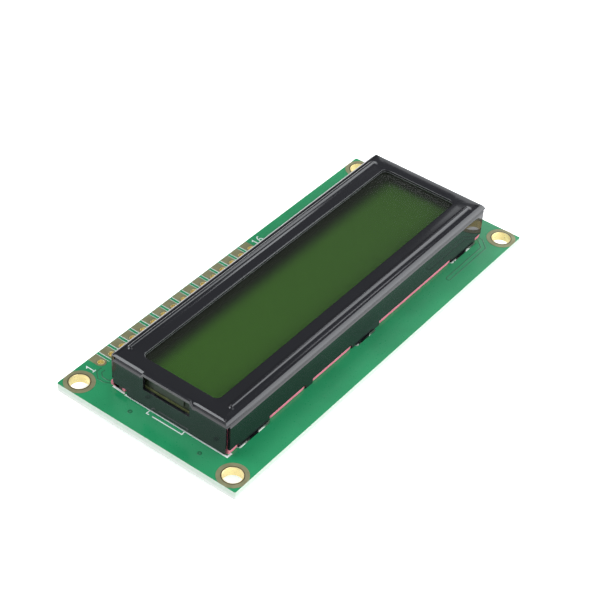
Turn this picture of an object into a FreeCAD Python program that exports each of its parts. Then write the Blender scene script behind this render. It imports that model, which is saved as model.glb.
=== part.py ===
import FreeCAD, Part
import math
import os
import Sketcher

# Character display module: a folded steel bezel clamps the glass cell, the backlight
# and two elastomer connectors onto a circuit board. X runs along the module, +Z is up,
# the origin is the board's centre at the level of the bezel's tab ends.

# Driving sizes in millimetres, degrees and plain counts.
SIZES = [
    # circuit board
    ("board_length", 80.0),
    ("board_width", 36.0),
    ("board_thickness", 1.6),
    ("copper_height", 0.05),
    # mounting holes
    ("mount_inset", 2.5),
    ("mount_hole_diameter", 3.2),
    ("mount_ring_diameter", 5.3),
    # pads for a pin header along the back edge
    ("pin_count", 16),
    ("pin_pitch", 2.54),
    ("first_pin_inset", 8.0),
    ("pin_row_inset", 2.0),
    ("pin_hole_diameter", 1.0),
    ("pin_pad_width", 1.8),
    ("pin_pad_edge_gap", 0.1),
    ("pin_pad_corner", 0.45),
    # folded bezel
    ("bezel_length", 71.1),
    ("bezel_width", 24.2),
    ("bezel_shift_x", 0.35),
    ("bezel_shift_y", -0.4),
    ("sheet_thickness", 0.5),
    ("side_bend_radius", 1.6),
    ("end_bend_radius", 1.0),
    ("side_wall_relief", 0.65),
    ("end_wall_front_relief", 0.35),
    ("end_wall_back_relief", 1.2),
    ("skirt_gap", 0.9),
    ("end_wall_gap", 0.3),
    ("window_end_margin", 3.15),
    ("window_side_margin", 4.6),
    ("window_corner_radius", 1.0),
    ("bead_end_margin", 2.75),
    ("bead_side_inset", 1.95),
    ("bead_width", 1.2),
    ("bead_height", 0.45),
    ("bead_round", 0.42),
    ("bead_hollow_width", 0.5),
    ("bead_hollow_depth", 0.35),
    # feet, notches and twist tabs of the bezel
    ("foot_width", 7.6),
    ("foot_end_inset", 6.4),
    ("foot_shift", 0.2),
    ("rest_foot_width", 1.8),
    ("rest_foot_shift", -15.05),
    ("port_notch_width", 9.3),
    ("port_notch_height", 2.7),
    ("corner_notch_width", 4.1),
    ("corner_notch_height", 1.4),
    ("tab_count", 3),
    ("tab_width", 2.2),
    ("tab_reach", 1.5),
    ("tab_twist", 40.0),
    # board slots for the tabs
    ("slot_width", 1.4),
    ("end_slot_length", 7.8),
    ("middle_slot_length", 5.6),
    ("slot_shift", -0.15),
    ("slot_outset", 0.25),
    # glass cell
    ("polariser_thickness", 0.2),
    ("polariser_inset", 0.6),
    ("polariser_side_gap", 0.1),
    ("glass_thickness", 1.1),
    ("glass_end_gap", 0.2),
    ("glass_side_gap", 0.05),
    ("cell_gap", 0.05),
    ("seal_width", 0.6),
    ("seal_inset", 0.4),
    ("port_plug_width", 6.0),
    ("port_plug_depth", 0.2),
    ("port_plug_height", 1.5),
    # elastomer connectors
    ("connector_width", 2.6),
    ("connector_side_gap", 0.15),
    ("connector_end_gap", 0.1),
    ("squeeze_gap", 0.1),
    # backlight
    ("diffuser_thickness", 0.55),
    ("guide_thickness", 2.3),
    ("reflector_thickness", 0.1),
    ("tray_floor", 0.8),
    ("tray_wall", 0.6),
    ("tray_side_gap", 0.1),
    ("tray_end_gap", 0.3),
    ("guide_gap", 0.1),
    ("led_board_end_gap", 0.85),
    ("led_board_thickness", 0.8),
    ("led_count", 4),
    ("led_pitch", 3.4),
    ("led_length", 2.2),
    ("led_depth", 0.9),
    ("led_height", 1.2),
    ("terminal_spacing", 10.0),
    ("terminal_diameter", 0.6),
    ("terminal_hole_gap", 0.1),
    ("terminal_reach", 0.9),
    ("terminal_joint_diameter", 1.9),
    ("terminal_joint_height", 0.7),
    # chips on the underside
    ("cover_spacing", 28.0),
    ("cover_diameter", 12.0),
    ("cover_rim", 0.25),
    ("cover_shoulder_diameter", 9.4),
    ("cover_shoulder_height", 0.85),
    ("cover_crown_diameter", 5.0),
    ("cover_height", 1.2),
    ("die_side", 3.6),
    ("die_thickness", 0.4),
    ("chip_length", 2.0),
    ("chip_width", 1.25),
    ("chip_height", 0.5),
    ("chip_joint_length", 0.45),
    ("chip_joint_height", 0.4),
    ("chip_joint_toe", 0.05),
    ("ladder_count", 5),
    ("ladder_pitch", 2.6),
    ("timing_chips_x", -24.5),
    ("oscillator_y", 6.5),
    ("capacitor_y", -5.5),
    ("lamp_chips_x", 27.0),
    ("lamp_chip_1_y", 3.0),
    ("lamp_chip_2_y", -4.0),
]

doc = FreeCAD.newDocument("character_display")
sheet = doc.addObject("Spreadsheet::Sheet", "sizes")
for row, (alias, size) in enumerate(SIZES, start=1):
    sheet.set(f"A{row}", alias)
    sheet.set(f"B{row}", str(size))
    sheet.setAlias(f"B{row}", alias)
doc.recompute()

# Levels above the top of the board, from the tray's floor up to the bezel's plate.
REFLECTOR_Z = "sizes.tray_floor"
GUIDE_Z = f"({REFLECTOR_Z} + sizes.reflector_thickness)"
DIFFUSER_Z = f"({GUIDE_Z} + sizes.guide_thickness)"
REAR_POLARISER_Z = f"({DIFFUSER_Z} + sizes.diffuser_thickness)"
REAR_GLASS_Z = f"({REAR_POLARISER_Z} + sizes.polariser_thickness)"
CELL_Z = f"({REAR_GLASS_Z} + sizes.glass_thickness)"
FRONT_GLASS_Z = f"({CELL_Z} + sizes.cell_gap)"
FRONT_POLARISER_Z = f"({FRONT_GLASS_Z} + sizes.glass_thickness)"
PLATE_Z = f"({FRONT_POLARISER_Z} + sizes.polariser_thickness)"
BEZEL_TOP = f"({PLATE_Z} + sizes.sheet_thickness)"

# Levels above the surface that the module rests on.
BOARD_BOTTOM = "sizes.tab_reach"
BOARD_TOP = "(sizes.tab_reach + sizes.board_thickness)"

# The row of holes for a pin header.
FIRST_PIN_X = "(-sizes.board_length / 2 + sizes.first_pin_inset)"
PIN_ROW_Y = "(sizes.board_width / 2 - sizes.pin_row_inset)"
PIN_ROW_LENGTH = "(sizes.pin_count - 1) * sizes.pin_pitch"

# Places on the bezel that follow its length and width.
WINDOW_LENGTH = "(sizes.bezel_length - 2 * sizes.window_end_margin)"
WINDOW_WIDTH = "(sizes.bezel_width - 2 * sizes.window_side_margin)"
BEAD_LENGTH = "(sizes.bezel_length - 2 * sizes.bead_end_margin)"
BEAD_OFFSET = "(sizes.bezel_width / 2 - sizes.bead_side_inset)"
FOOT_SPACING = "(sizes.bezel_length / 2 - sizes.foot_end_inset)"

# Inside of the bezel, and what fits into it.
INNER_LENGTH = "(sizes.bezel_length - 2 * sizes.sheet_thickness)"
INNER_WIDTH = "(sizes.bezel_width - 2 * sizes.sheet_thickness)"


def under_bend(size, radius, depth):
    """Clear length or width inside the bezel at a depth below its plate, between the bends."""
    inner = f"({radius} - sizes.sheet_thickness)"
    return f"({size} - 2 * {radius} + 2 * sqrt({inner}^2 - ({inner} - {depth})^2))"


CLEAR_LENGTH = under_bend(
    "sizes.bezel_length", "sizes.end_bend_radius", "sizes.polariser_thickness"
)
CLEAR_WIDTH = under_bend(
    "sizes.bezel_width", "sizes.side_bend_radius", "sizes.polariser_thickness"
)
FLAT_WIDTH = under_bend("sizes.bezel_width", "sizes.side_bend_radius", "0")
GLASS_LENGTH = f"({CLEAR_LENGTH} - 2 * sizes.glass_end_gap)"
FRONT_GLASS_WIDTH = f"({CLEAR_WIDTH} - 2 * sizes.glass_side_gap)"
FRONT_FILM_WIDTH = f"({FLAT_WIDTH} - 2 * sizes.polariser_side_gap)"
CONNECTOR_INSIDE = (
    f"({INNER_WIDTH} / 2 - sizes.connector_side_gap - sizes.connector_width)"
)
TRAY_WIDTH = f"(2 * {CONNECTOR_INSIDE} - 2 * sizes.tray_side_gap)"
TRAY_LENGTH = f"({INNER_LENGTH} - 2 * sizes.tray_end_gap)"
LED_SPACE = "(sizes.led_board_thickness + sizes.led_depth + sizes.guide_gap)"
GUIDE_LENGTH = f"({TRAY_LENGTH} - 2 * sizes.tray_wall - {LED_SPACE} - sizes.guide_gap)"
GUIDE_WIDTH = f"({TRAY_WIDTH} - 2 * sizes.tray_wall - 2 * sizes.guide_gap)"
LED_BOARD_LENGTH = f"({TRAY_WIDTH} - 2 * sizes.tray_wall - 2 * sizes.led_board_end_gap)"
LED_BOARD_X = f"({TRAY_LENGTH} / 2 - sizes.tray_wall - sizes.led_board_thickness)"
TERMINAL_X = f"({LED_BOARD_X} + sizes.led_board_thickness / 2)"
WALL_MIDDLE = "(sizes.bezel_width / 2 - sizes.sheet_thickness / 2)"
TERMINAL_HOLE = "(sizes.terminal_diameter + 2 * sizes.terminal_hole_gap)"


def number(expression):
    """Value of an expression on the sheet of sizes."""
    return float(sheet.evalExpression(expression))


def bind(thing, **expressions):
    """Tie properties of an object to expressions; a double underscore stands for a dot."""
    for name, expression in expressions.items():
        thing.setExpression(name.replace("__", "."), str(expression))


def place(thing, x="0", y="0", z="0"):
    """Tie an object's position to expressions in the module's frame."""
    bind(thing, Placement__Base__x=x, Placement__Base__y=y, Placement__Base__z=z)


def edges(shape, wanted):
    """Names of the edges of a shape for which a test holds."""
    return [f"Edge{n}" for n, edge in enumerate(shape.Edges, start=1) if wanted(edge)]


def near(a, b):
    """Whether two lengths are the same within a hundredth of a millimetre."""
    return abs(a - b) < 0.01


# Sketches


def new_body(label):
    """An empty body with its label."""
    body = doc.addObject("PartDesign::Body", label)
    body.Label = label
    return body


def new_sketch(body, name, role="XY_Plane", height="0"):
    """A sketch on one of the body's own origin planes, raised along its normal."""
    sketch = body.newObject("Sketcher::SketchObject", name)
    plane = [item for item in body.Origin.OriginFeatures if item.Role == role][0]
    sketch.AttachmentSupport = (plane, [""])
    sketch.MapMode = "FlatFace"
    bind(sketch, AttachmentOffset__Base__z=height)
    return sketch


def constrain(sketch, kind, target, expression):
    """Add one dimension to a sketch and tie it to an expression."""
    constraint = Sketcher.Constraint(kind, *target, number(expression))
    index = sketch.addConstraint(constraint)
    sketch.setExpression(f"Constraints[{index}]", expression)


def hold(sketch, geometry, end, x, y):
    """Fix a point of a sketch from the sketch's origin."""
    constrain(sketch, "DistanceX", (-1, 1, geometry, end), x)
    constrain(sketch, "DistanceY", (-1, 1, geometry, end), y)


def polygon(sketch, corners):
    """A closed outline of straight lines through corners given as expressions."""
    points = [FreeCAD.Vector(number(x), number(y), 0) for x, y in corners]
    count = len(points)
    lines = [Part.LineSegment(points[n], points[(n + 1) % count]) for n in range(count)]
    first = sketch.addGeometry(lines, False)
    for n in range(count):
        sketch.addConstraint(
            Sketcher.Constraint("Coincident", first[n], 2, first[(n + 1) % count], 1)
        )
        hold(sketch, first[n], 1, *corners[n])


def rectangle(sketch, left, front, right, back):
    """A rectangle between two opposite corners."""
    polygon(sketch, [(left, front), (right, front), (right, back), (left, back)])


def centred_rectangle(sketch, length, width):
    """A rectangle about the sketch's origin."""
    rectangle(sketch, f"-{length} / 2", f"-{width} / 2", f"{length} / 2", f"{width} / 2")


def circle(sketch, x, y, diameter):
    """A circle by its centre and diameter."""
    centre = FreeCAD.Vector(number(x), number(y), 0)
    shape = Part.Circle(centre, FreeCAD.Vector(0, 0, 1), number(diameter) / 2)
    index = sketch.addGeometry(shape, False)
    hold(sketch, index, 3, x, y)
    constrain(sketch, "Diameter", (index,), diameter)


def half_circle(sketch, x, y, radius, start):
    """An arc of half a turn from a start angle in degrees, held at its centre."""
    centre = FreeCAD.Vector(number(x), number(y), 0)
    full = Part.Circle(centre, FreeCAD.Vector(0, 0, 1), number(radius))
    first = math.radians(start)
    index = sketch.addGeometry(Part.ArcOfCircle(full, first, first + math.pi), False)
    hold(sketch, index, 3, x, y)
    return index


def stadium(sketch, left, right, y, width):
    """A slot outline with round ends, from its extreme left to its extreme right."""
    radius = f"({width}) / 2"
    west, east = f"{left} + {radius}", f"{right} - {radius}"
    start = half_circle(sketch, west, y, radius, 90)
    finish = half_circle(sketch, east, y, radius, -90)
    low, high = number(y) - number(radius), number(y) + number(radius)
    x0, x1 = number(west), number(east)
    over, under = sketch.addGeometry(
        [
            Part.LineSegment(FreeCAD.Vector(x0, high, 0), FreeCAD.Vector(x1, high, 0)),
            Part.LineSegment(FreeCAD.Vector(x0, low, 0), FreeCAD.Vector(x1, low, 0)),
        ],
        False,
    )
    sketch.addConstraint(Sketcher.Constraint("Tangent", start, 1, over, 1))
    sketch.addConstraint(Sketcher.Constraint("Tangent", over, 2, finish, 2))
    sketch.addConstraint(Sketcher.Constraint("Tangent", start, 2, under, 1))
    sketch.addConstraint(Sketcher.Constraint("Tangent", under, 2, finish, 1))
    sketch.addConstraint(Sketcher.Constraint("Equal", start, finish))
    constrain(sketch, "Radius", (start,), radius)


# Features


def pad(body, sketch, name, length, downward=False):
    """Raise a sketch by a length, or lower it."""
    feature = body.newObject("PartDesign::Pad", name)
    feature.Profile = sketch
    feature.Reversed = downward
    bind(feature, Length=length)
    doc.recompute()
    return feature


def pocket(body, sketch, name, length=None, upward=False):
    """Cut a sketch out by a length, or right through both ways; it has to remove material."""
    before = body.Tip.Shape.Volume
    feature = body.newObject("PartDesign::Pocket", name)
    feature.Profile = sketch
    if length is None:
        feature.Type = "ThroughAll"
        feature.Midplane = True
    else:
        feature.Reversed = upward
        bind(feature, Length=length)
    doc.recompute()
    if not feature.Shape.Volume < before:
        raise RuntimeError(f"{body.Label}: {name} removed nothing")
    return feature


def turn_profile(body, sketch, name, axis):
    """Revolve a profile right round one of its own axes."""
    feature = body.newObject("PartDesign::Revolution", name)
    feature.Profile = sketch
    feature.ReferenceAxis = (sketch, [axis])
    feature.Angle = 360
    doc.recompute()


def fillet(body, name, base, wanted, radius):
    """Round the edges of the base feature for which a test holds."""
    feature = body.newObject("PartDesign::Fillet", name)
    feature.Base = (base, edges(base.Shape, wanted))
    bind(feature, Radius=radius)
    doc.recompute()


def row_of(body, name, axis, length, count, originals=None):
    """Repeat features, or the whole shape so far, in a row along one of the body's axes."""
    feature = body.newObject("PartDesign::LinearPattern", name)
    if originals is None:
        feature.TransformMode = "Whole shape"
    else:
        feature.Originals = originals
    line = [item for item in body.Origin.OriginFeatures if item.Role == axis][0]
    feature.Direction = (line, [""])
    bind(feature, Length=length, Occurrences=count)
    body.Tip = feature
    doc.recompute()


def block(label, length, width, height, x, y, z):
    """A plain rectangular piece, given by its sizes, its middle in plan and its underside."""
    piece = doc.addObject("Part::Box", label)
    piece.Label = label
    bind(piece, Length=length, Width=width, Height=height)
    place(piece, f"{x} - {length} / 2", f"{y} - {width} / 2", z)


# Circuit board with its copper


def slot_places():
    """Centre and length of the tab slots along the board, in the bezel's frame."""
    middle = "sizes.foot_shift + sizes.slot_shift"
    return [
        (f"({middle} - {FOOT_SPACING})", "sizes.end_slot_length"),
        (f"({middle})", "sizes.middle_slot_length"),
        (f"({middle} + {FOOT_SPACING})", "sizes.end_slot_length"),
    ]


def mount_places():
    """Centres of the four mounting holes."""
    x = "(sizes.board_length / 2 - sizes.mount_inset)"
    y = "(sizes.board_width / 2 - sizes.mount_inset)"
    return [(f"{a} * {x}", f"{b} * {y}") for a in (-1, 1) for b in (-1, 1)]


def make_circuit_board():
    """Laminate with its plated rings and pads, drilled and routed."""
    body = new_body("circuit_board")
    place(body, z=BOARD_BOTTOM)
    outline = new_sketch(body, "board_outline")
    centred_rectangle(outline, "sizes.board_length", "sizes.board_width")
    pad(body, outline, "laminate", "sizes.board_thickness")
    add_copper(body)
    drill_board(body)
    route_slots(body)


def add_copper(body):
    """Rings and pads, each raised by the copper's height on both sides of the laminate."""
    through = "sizes.board_thickness + 2 * sizes.copper_height"
    rings = new_sketch(body, "ring_outline", height="-sizes.copper_height")
    for x, y in mount_places():
        circle(rings, x, y, "sizes.mount_ring_diameter")
    pad(body, rings, "rings", through)
    edge = new_sketch(body, "edge_outline")
    centred_rectangle(edge, "sizes.board_length", "sizes.board_width")
    margin = "sizes.mount_ring_diameter"
    centred_rectangle(
        edge, f"(sizes.board_length + {margin})", f"(sizes.board_width + {margin})"
    )
    pocket(body, edge, "ring_trim")
    tongue = new_sketch(body, "first_pad_outline", height="-sizes.copper_height")
    half, corner = "sizes.pin_pad_width / 2", "sizes.pin_pad_corner"
    left, right = f"{FIRST_PIN_X} - {half}", f"{FIRST_PIN_X} + {half}"
    back = "sizes.board_width / 2 - sizes.pin_pad_edge_gap"
    front = f"{PIN_ROW_Y} - {half}"
    polygon(
        tongue,
        [
            (left, back),
            (left, f"{front} + {corner}"),
            (f"{left} + {corner}", front),
            (f"{right} - {corner}", front),
            (right, f"{front} + {corner}"),
            (right, back),
        ],
    )
    first = pad(body, tongue, "first_pad", through)
    row_of(body, "pad_row", "X_Axis", PIN_ROW_LENGTH, "sizes.pin_count", [first])


def drill_board(body):
    """Holes for mounting, for the pin header and for the backlight's leads."""
    mounts = new_sketch(body, "mounting_holes")
    for x, y in mount_places():
        circle(mounts, x, y, "sizes.mount_hole_diameter")
    pocket(body, mounts, "mounting_drill")
    pin = new_sketch(body, "first_pin_hole")
    circle(pin, FIRST_PIN_X, PIN_ROW_Y, "sizes.pin_hole_diameter")
    drill = pocket(body, pin, "pin_drill")
    row_of(body, "pin_row", "X_Axis", PIN_ROW_LENGTH, "sizes.pin_count", [drill])
    leads = new_sketch(body, "backlight_lead_holes")
    for side in (-1, 1):
        y = f"(sizes.bezel_shift_y + {side} * sizes.terminal_spacing / 2)"
        circle(leads, f"(sizes.bezel_shift_x + {TERMINAL_X})", y, TERMINAL_HOLE)
    pocket(body, leads, "lead_drill")


def route_slots(body):
    """Round-ended slots for the bezel's tabs, a little outside its walls."""
    slots = new_sketch(body, "tab_slots")
    for side in (-1, 1):
        wall = f"(sizes.bezel_shift_y + {side} * ({WALL_MIDDLE} + sizes.slot_outset))"
        for middle, length in slot_places():
            left = f"sizes.bezel_shift_x + {middle} - {length} / 2"
            right = f"sizes.bezel_shift_x + {middle} + {length} / 2"
            stadium(slots, left, right, wall, "sizes.slot_width")
    pocket(body, slots, "tab_routing")


# Bezel, folded from one sheet: plate, four walls, feet and twist tabs

HALF_LENGTH = "(sizes.bezel_length / 2)"
HALF_WIDTH = "(sizes.bezel_width / 2)"
INSIDE_X = f"({HALF_LENGTH} - sizes.sheet_thickness)"


def feet_along_side():
    """Left and right end of each foot on a side wall, from left to right."""
    half_foot, half_rest = "sizes.foot_width / 2", "sizes.rest_foot_width / 2"
    places = [
        (f"sizes.foot_shift - {FOOT_SPACING}", half_foot),
        ("sizes.rest_foot_shift", half_rest),
        ("sizes.foot_shift", half_foot),
        (f"sizes.foot_shift + {FOOT_SPACING}", half_foot),
    ]
    return [(f"{middle} - {half}", f"{middle} + {half}") for middle, half in places]


def skirt_spans():
    """Left and right end of each raised length of a side wall, between its feet."""
    starts = [f"-{INSIDE_X}"] + [right for left, right in feet_along_side()]
    ends = [left for left, right in feet_along_side()] + [INSIDE_X]
    return list(zip(starts, ends))


def fold_sheet(body):
    """The plate with its four walls, bent round different radii at the sides and ends."""
    outline = new_sketch(body, "plan_outline")
    centred_rectangle(outline, "sizes.bezel_length", "sizes.bezel_width")
    solid = pad(body, outline, "outside_form", BEZEL_TOP)
    top = number(BEZEL_TOP)
    fillet(
        body,
        "side_bend",
        solid,
        lambda edge: near(edge.CenterOfMass.z, top) and near(edge.CenterOfMass.x, 0),
        "sizes.side_bend_radius",
    )
    ends = new_sketch(body, "end_bend_outline", "XZ_Plane")
    for side in (-1, 1):
        end_bend_waste(ends, side)
    bends = pocket(body, ends, "end_bend")
    open_side = [
        f"Face{n}"
        for n, face in enumerate(bends.Shape.Faces, start=1)
        if near(face.CenterOfMass.z, 0)
    ]
    shell = body.newObject("PartDesign::Thickness", "sheet")
    shell.Base = (bends, open_side)
    shell.Reversed = True
    bind(shell, Value="sizes.sheet_thickness")
    doc.recompute()


def end_bend_waste(sketch, side):
    """Outline of what lies outside the bend of one end wall, seen along the module."""
    radius = "sizes.end_bend_radius"
    wall, rim = f"{side} * {HALF_LENGTH}", f"{side} * ({HALF_LENGTH} - {radius})"
    outside, above = f"{side} * ({HALF_LENGTH} + {radius})", f"{BEZEL_TOP} + {radius}"
    low = f"{BEZEL_TOP} - {radius}"
    corners = [(wall, low), (outside, low), (outside, above), (rim, above), (rim, BEZEL_TOP)]
    points = [FreeCAD.Vector(number(x), number(z), 0) for x, z in corners]
    lines = sketch.addGeometry(
        [Part.LineSegment(points[n], points[n + 1]) for n in range(4)], False
    )
    for before, after in zip(lines, lines[1:]):
        sketch.addConstraint(Sketcher.Constraint("Coincident", before, 2, after, 1))
    for line, corner in zip(lines, corners):
        hold(sketch, line, 1, *corner)
    hold(sketch, lines[-1], 2, *corners[-1])
    centre = FreeCAD.Vector(points[4].x, points[0].y, 0)
    full = Part.Circle(centre, FreeCAD.Vector(0, 0, 1), number(radius))
    first = 0 if side > 0 else math.pi / 2
    arc = sketch.addGeometry(Part.ArcOfCircle(full, first, first + math.pi / 2), False)
    start, finish = (1, 2) if side > 0 else (2, 1)
    sketch.addConstraint(Sketcher.Constraint("Coincident", arc, start, lines[0], 1))
    sketch.addConstraint(Sketcher.Constraint("Coincident", arc, finish, lines[-1], 2))
    constrain(sketch, "Radius", (arc,), radius)


def cut_window(body):
    """The viewing window with its round corners."""
    sketch = new_sketch(body, "window_outline", height=PLATE_Z)
    centred_rectangle(sketch, WINDOW_LENGTH, WINDOW_WIDTH)
    window = pocket(body, sketch, "window", "sizes.sheet_thickness", upward=True)
    half_x, half_y = number(f"{WINDOW_LENGTH} / 2"), number(f"{WINDOW_WIDTH} / 2")
    fillet(
        body,
        "window_corners",
        window,
        lambda edge: near(abs(edge.CenterOfMass.x), half_x)
        and near(abs(edge.CenterOfMass.y), half_y),
        "sizes.window_corner_radius",
    )


def emboss_beads(body):
    """Two stiffening beads along the plate, raised outside and hollow inside."""
    half = f"{BEAD_LENGTH} / 2"
    raised = new_sketch(body, "bead_outline", height=BEZEL_TOP)
    hollow = new_sketch(body, "bead_hollow_outline", height=PLATE_Z)
    inset = "(sizes.bead_width - sizes.bead_hollow_width) / 2"
    for side in (-1, 1):
        y = f"{side} * {BEAD_OFFSET}"
        stadium(raised, f"-{half}", half, y, "sizes.bead_width")
        stadium(
            hollow, f"-{half} + {inset}", f"{half} - {inset}", y, "sizes.bead_hollow_width"
        )
    beads = pad(body, raised, "beads", "sizes.bead_height")
    crest = number(f"{BEZEL_TOP} + sizes.bead_height")
    fillet(
        body,
        "bead_round",
        beads,
        lambda edge: near(edge.BoundBox.ZMin, crest),
        "sizes.bead_round",
    )
    pocket(body, hollow, "bead_hollows", "sizes.bead_hollow_depth", upward=True)


def trim_walls(body):
    """Open corners, the skirt between the feet and the notches of the end walls."""
    corners = new_sketch(body, "corner_outline")
    for side_x in (-1, 1):
        for side_y, relief in ((-1, "end_wall_front_relief"), (1, "end_wall_back_relief")):
            rectangle(
                corners,
                f"{side_x} * ({HALF_LENGTH} - sizes.side_wall_relief)",
                f"{side_y} * ({HALF_WIDTH} - sizes.{relief})",
                f"{side_x} * ({HALF_LENGTH} + sizes.sheet_thickness)",
                f"{side_y} * ({HALF_WIDTH} + sizes.sheet_thickness)",
            )
    height = f"{BEZEL_TOP} - sizes.end_bend_radius"
    pocket(body, corners, "open_corners", height, upward=True)
    skirt = new_sketch(body, "skirt_outline", "XZ_Plane")
    for start, end in skirt_spans():
        rectangle(skirt, start, "-sizes.skirt_gap", end, "sizes.skirt_gap")
    pocket(body, skirt, "skirt")
    low = new_sketch(body, "end_wall_outline")
    for side in (-1, 1):
        rectangle(
            low, f"{side} * {INSIDE_X}", f"-{HALF_WIDTH}", f"{side} * {HALF_LENGTH}", HALF_WIDTH
        )
    pocket(body, low, "end_walls", "sizes.end_wall_gap", upward=True)
    corner = new_sketch(body, "corner_notch_outline")
    notch_y = f"{HALF_WIDTH} - sizes.corner_notch_width"
    rectangle(corner, f"-{HALF_LENGTH}", notch_y, f"-{INSIDE_X}", HALF_WIDTH)
    pocket(body, corner, "corner_notch", "sizes.corner_notch_height", upward=True)


def cut_port_notch(body):
    """The opening in the left end wall at the cell's filling port; the plate stays flat there."""
    depth = "sizes.sheet_thickness + sizes.port_notch_height"
    rim = f"-({HALF_LENGTH} - sizes.end_bend_radius)"
    half = "sizes.port_notch_width / 2"
    cut = new_sketch(body, "port_notch_outline", height=BEZEL_TOP)
    outside = f"-({HALF_LENGTH} + sizes.sheet_thickness)"
    rectangle(cut, outside, f"-{half}", rim, half)
    pocket(body, cut, "port_notch", depth)
    flat = new_sketch(body, "port_lip_outline", height=PLATE_Z)
    rectangle(flat, f"-{HALF_LENGTH}", f"-{half}", rim, half)
    pad(body, flat, "port_lip", "sizes.sheet_thickness")


def add_tabs(body):
    """Tabs that pass down through the board's slots and are twisted under it."""
    x = f"sizes.foot_shift - {FOOT_SPACING}"
    for name, side in (("front", -1), ("back", 1)):
        y = f"{side} * {WALL_MIDDLE}"
        neck = new_sketch(body, f"{name}_neck_outline")
        end = new_sketch(body, f"{name}_end_outline", height="-sizes.board_thickness")
        end.AttachmentOffset.Rotation.Axis = FreeCAD.Vector(0, 0, 1)
        bind(end, AttachmentOffset__Rotation__Angle=f"{side} * sizes.tab_twist")
        for sketch in (neck, end):
            bind(sketch, AttachmentOffset__Base__x=x, AttachmentOffset__Base__y=y)
            centred_rectangle(sketch, "sizes.tab_width", "sizes.sheet_thickness")
        stem = pad(body, neck, f"{name}_neck", "sizes.board_thickness", downward=True)
        twisted = pad(body, end, f"{name}_end", "sizes.tab_reach", downward=True)
        length = f"2 * {FOOT_SPACING}"
        row_of(body, f"{name}_tabs", "X_Axis", length, "sizes.tab_count", [stem, twisted])


def make_bezel_frame():
    body = new_body("bezel_frame")
    place(body, "sizes.bezel_shift_x", "sizes.bezel_shift_y", BOARD_TOP)
    fold_sheet(body)
    cut_window(body)
    emboss_beads(body)
    trim_walls(body)
    cut_port_notch(body)
    add_tabs(body)


# Glass cell, from the window down


def inside(label, length, width, height, level, x="0", y="0"):
    """A flat piece inside the bezel, centred on it unless shifted, at a level above the board."""
    block(
        label,
        length,
        width,
        height,
        f"sizes.bezel_shift_x + {x}",
        f"sizes.bezel_shift_y + {y}",
        f"{BOARD_TOP} + {level}",
    )


def make_glass_cell():
    """Two panes with their films, and the seal and liquid between them."""
    inset = "2 * sizes.polariser_inset"
    film = "sizes.polariser_thickness"
    glass = "sizes.glass_thickness"
    film_length = f"({GLASS_LENGTH} - {inset})"
    rear_film_width = f"({TRAY_WIDTH} - {inset})"
    inside("front_polariser", film_length, FRONT_FILM_WIDTH, film, FRONT_POLARISER_Z)
    inside("front_glass", GLASS_LENGTH, FRONT_GLASS_WIDTH, glass, FRONT_GLASS_Z)
    inside("rear_glass", GLASS_LENGTH, TRAY_WIDTH, glass, REAR_GLASS_Z)
    inside("rear_polariser", film_length, rear_film_width, film, REAR_POLARISER_Z)
    seal_length = f"({GLASS_LENGTH} - 2 * sizes.seal_inset)"
    seal_width = f"({TRAY_WIDTH} - 2 * sizes.seal_inset)"
    pool_length = f"({seal_length} - 2 * sizes.seal_width)"
    pool_width = f"({seal_width} - 2 * sizes.seal_width)"
    seal = new_body("perimeter_seal")
    place(seal, "sizes.bezel_shift_x", "sizes.bezel_shift_y", f"{BOARD_TOP} + {CELL_Z}")
    bead = new_sketch(seal, "seal_outline")
    centred_rectangle(bead, seal_length, seal_width)
    centred_rectangle(bead, pool_length, pool_width)
    pad(seal, bead, "seal_bead", "sizes.cell_gap")
    inside("liquid_crystal", pool_length, pool_width, "sizes.cell_gap", CELL_Z)
    inside(
        "fill_port_plug",
        "sizes.port_plug_depth",
        "sizes.port_plug_width",
        "sizes.port_plug_height",
        f"({CELL_Z} + sizes.cell_gap / 2 - sizes.port_plug_height / 2)",
        x=f"(-{GLASS_LENGTH} / 2 - sizes.port_plug_depth / 2)",
    )


def make_connectors():
    """The two elastomer strips from the front glass to the board, squeezed out under the skirt."""
    half = f"({INSIDE_X} - sizes.connector_end_gap)"
    outside = f"({CONNECTOR_INSIDE} + sizes.connector_width)"
    for label, side in (("zebra_strip_front", -1), ("zebra_strip_back", 1)):
        strip = new_body(label)
        place(strip, "sizes.bezel_shift_x", "sizes.bezel_shift_y", BOARD_TOP)
        inner = f"{side} * {CONNECTOR_INSIDE}"
        outline = new_sketch(strip, "strip_outline")
        rectangle(outline, f"-{half}", inner, half, f"{side} * {outside}")
        pad(strip, outline, "strip", FRONT_GLASS_Z)
        squeezed = new_sketch(strip, "squeezed_outline")
        face = f"{side} * ({HALF_WIDTH} - sizes.squeeze_gap)"
        for start, end in skirt_spans():
            left, right = f"{start} + sizes.squeeze_gap", f"{end} - sizes.squeeze_gap"
            rectangle(squeezed, left, inner, right, face)
        pad(strip, squeezed, "squeezed_rim", "sizes.skirt_gap - sizes.squeeze_gap")


# Backlight, in its tray between the connectors


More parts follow.
